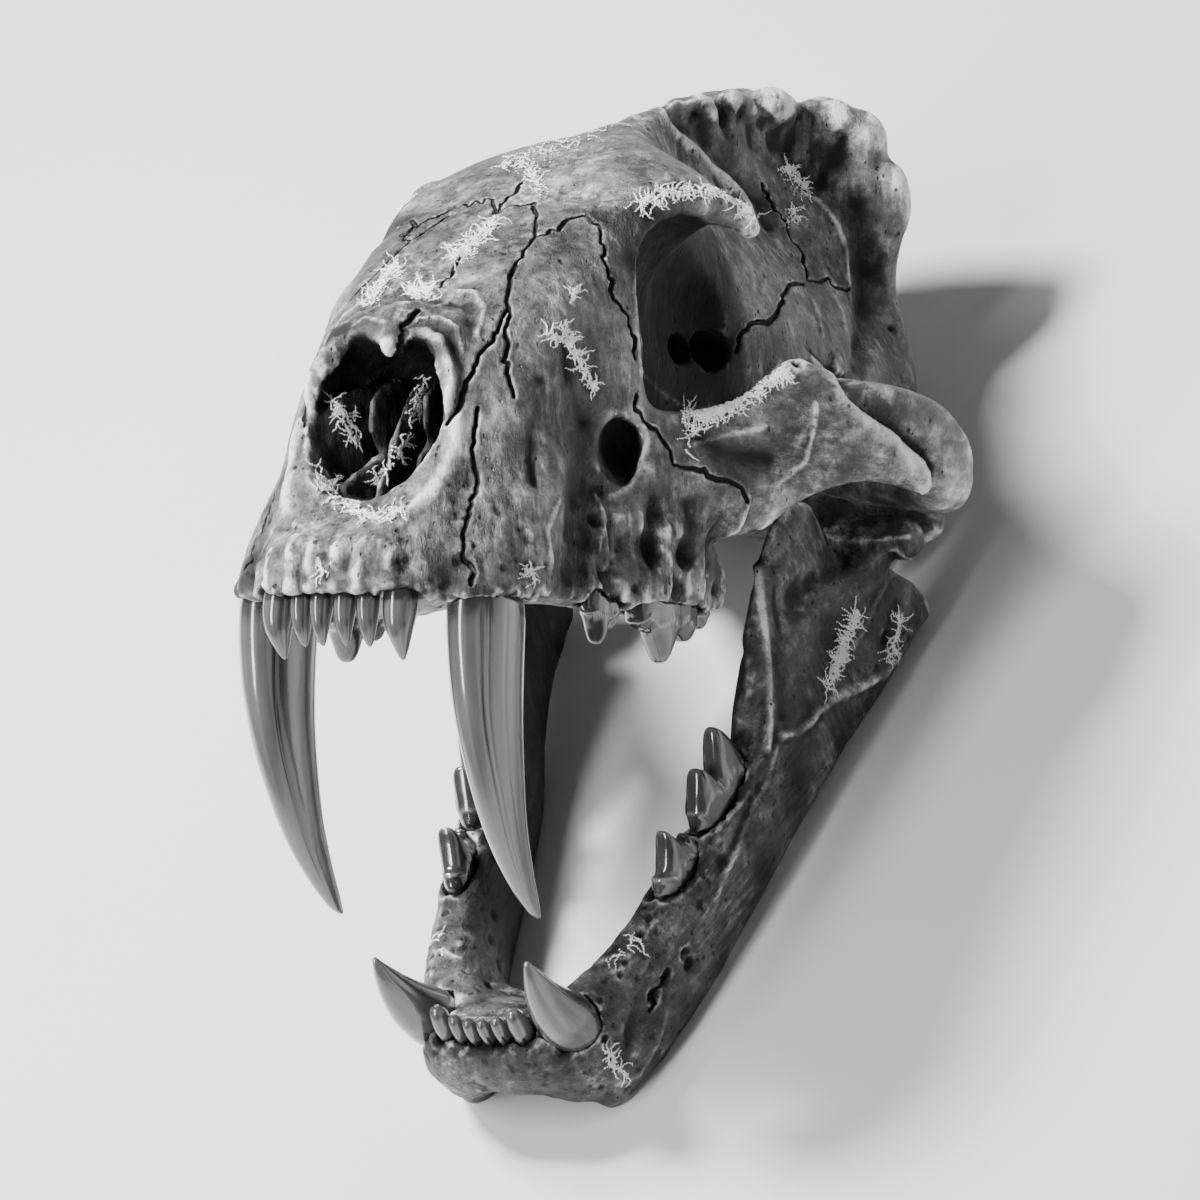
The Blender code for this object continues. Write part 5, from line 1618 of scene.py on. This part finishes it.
def build_studio():
    """The pale floor, soft lamps and the photograph's camera."""
    bm = bmesh.new()
    bmesh.ops.create_grid(bm, x_segments=1, y_segments=1, size=FLOOR_HALF)
    floor = new_object("floor", bm, floor_material())

    turn = SKULL_PLACE.to_3x3()
    right, up, back = (turn @ axis for axis in (CAMERA_RIGHT, CAMERA_UP, CAMERA_BACK))
    for name, ((near, aside, high), distance, size, power) in LAMPS.items():
        toward = (back * near + right * aside + up * high).normalized()
        lamp = area_light(name, LAMP_AIM + toward * distance, toward, size, power)
        if name == "strip":
            lamp.data.shape = "RECTANGLE"
            lamp.data.size_y = STRIP_HEIGHT
            upright = Matrix((up.cross(toward), up, toward)).transposed()
            lamp.rotation_quaternion = upright.to_quaternion()

    world = bpy.data.worlds.new("studio_air")
    world.use_nodes = True
    air = world.node_tree.nodes["Background"]
    air.inputs["Color"].default_value = (1, 1, 1, 1)
    air.inputs["Strength"].default_value = AIR_LIGHT
    bpy.context.scene.world = world

    lens = bpy.data.cameras.new("camera")
    lens.lens = CAMERA_LENS
    lens.sensor_width = CAMERA_SENSOR
    lens.clip_start = 0.1
    lens.clip_end = 20
    camera = bpy.data.objects.new("camera", lens)
    seat = Matrix.Identity(4)
    for column, axis in enumerate((CAMERA_RIGHT, CAMERA_UP, CAMERA_BACK, CAMERA_PLACE)):
        for row in range(3):
            seat[row][column] = axis[row]
    camera.matrix_world = SKULL_PLACE @ seat
    bpy.context.scene.collection.objects.link(camera)
    bpy.context.scene.camera = camera


def dress_bone(node, shapes, hollows, late_shapes, place, relief, cracks, gums, limit, material,
               crust_name, patches, crust_look):
    """A carved bone that stands for its CAD solid, and its crust."""
    bone = raw_bone(f"{node}_looks", shapes, hollows, late_shapes)
    finish_bone(bone, place, relief, cracks, gums, limit)
    bone.data.materials.clear()
    bone.data.materials.append(material)
    grow_crust(crust_name, bone, patches, place, crust_look)
    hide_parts(node)
    settle(bone, place)


def eye_bowls():
    bm = bmesh.new()
    for bowl in EYE_BOWLS:
        add_ellipsoid(bm, *bowl, segments=32)
    return bm


def late_skull_shapes():
    bm = bmesh.new()
    add_loft(bm, limb_rings(NASAL_TONGUE), mirrored=True)
    add_loft(bm, limb_rings(NASAL_BEAK))
    for scroll in NASAL_SCROLLS:
        add_loft(bm, plate_rings(scroll), mirrored=True)
    add_loft(bm, plate_rings(NASAL_SEPTUM))
    return bm


def roller_clearance():
    bm = bmesh.new()
    add_roller(bm, JOINT_RADIUS + JOINT_CLEARANCE, JOINT_INNER - 2, JOINT_OUTER + 2)
    return bm


def main():
    upper_cones = {"upper_canine": SABRE}
    upper_cones.update({f"upper_incisor_{i}": rows for i, rows in UPPER_INCISORS.items()})
    lower_cones = {"lower_canine": LOWER_CANINE}
    lower_cones.update({f"lower_incisor_{i}": rows for i, rows in LOWER_INCISORS.items()})

    bone_look = bone_material("fossil_bone_grey", CRANIUM_TONE)
    jaw_look = bone_material("fossil_jaw_grey_shaded", JAW_SHADED_TONE)
    enamel_look = enamel_material()
    crust_look = crust_material()

    dress_bone(
        "cranium", cranium_shapes(),
        (cranium_hollows(), eye_bowls(), sockets_of(upper_cones, UPPER_BLADES), roller_clearance()),
        late_skull_shapes(), SKULL_PLACE, skull_relief, SKULL_CRACKS,
        gum_loops(upper_cones, UPPER_BLADES, UPPER_GUMS), CRANIUM_LIMIT, bone_look,
        "skull_crust", SKULL_CRUST, crust_look,
    )
    dress_bone(
        "mandible", mandible_shapes(),
        (mandible_hollows(), sockets_of(lower_cones, LOWER_BLADES)),
        bmesh.new(), JAW_PLACE, jaw_relief, JAW_CRACKS,
        gum_loops(lower_cones, LOWER_BLADES, LOWER_GUMS), MANDIBLE_LIMIT, jaw_look,
        "jaw_crust", JAW_CRUST, crust_look,
    )
    dress_teeth(upper_cones, UPPER_BLADES, SKULL_PLACE, UPPER_GUMS, True, enamel_look)
    dress_teeth(lower_cones, LOWER_BLADES, JAW_PLACE, LOWER_GUMS, False, enamel_look)
    build_studio()


main()
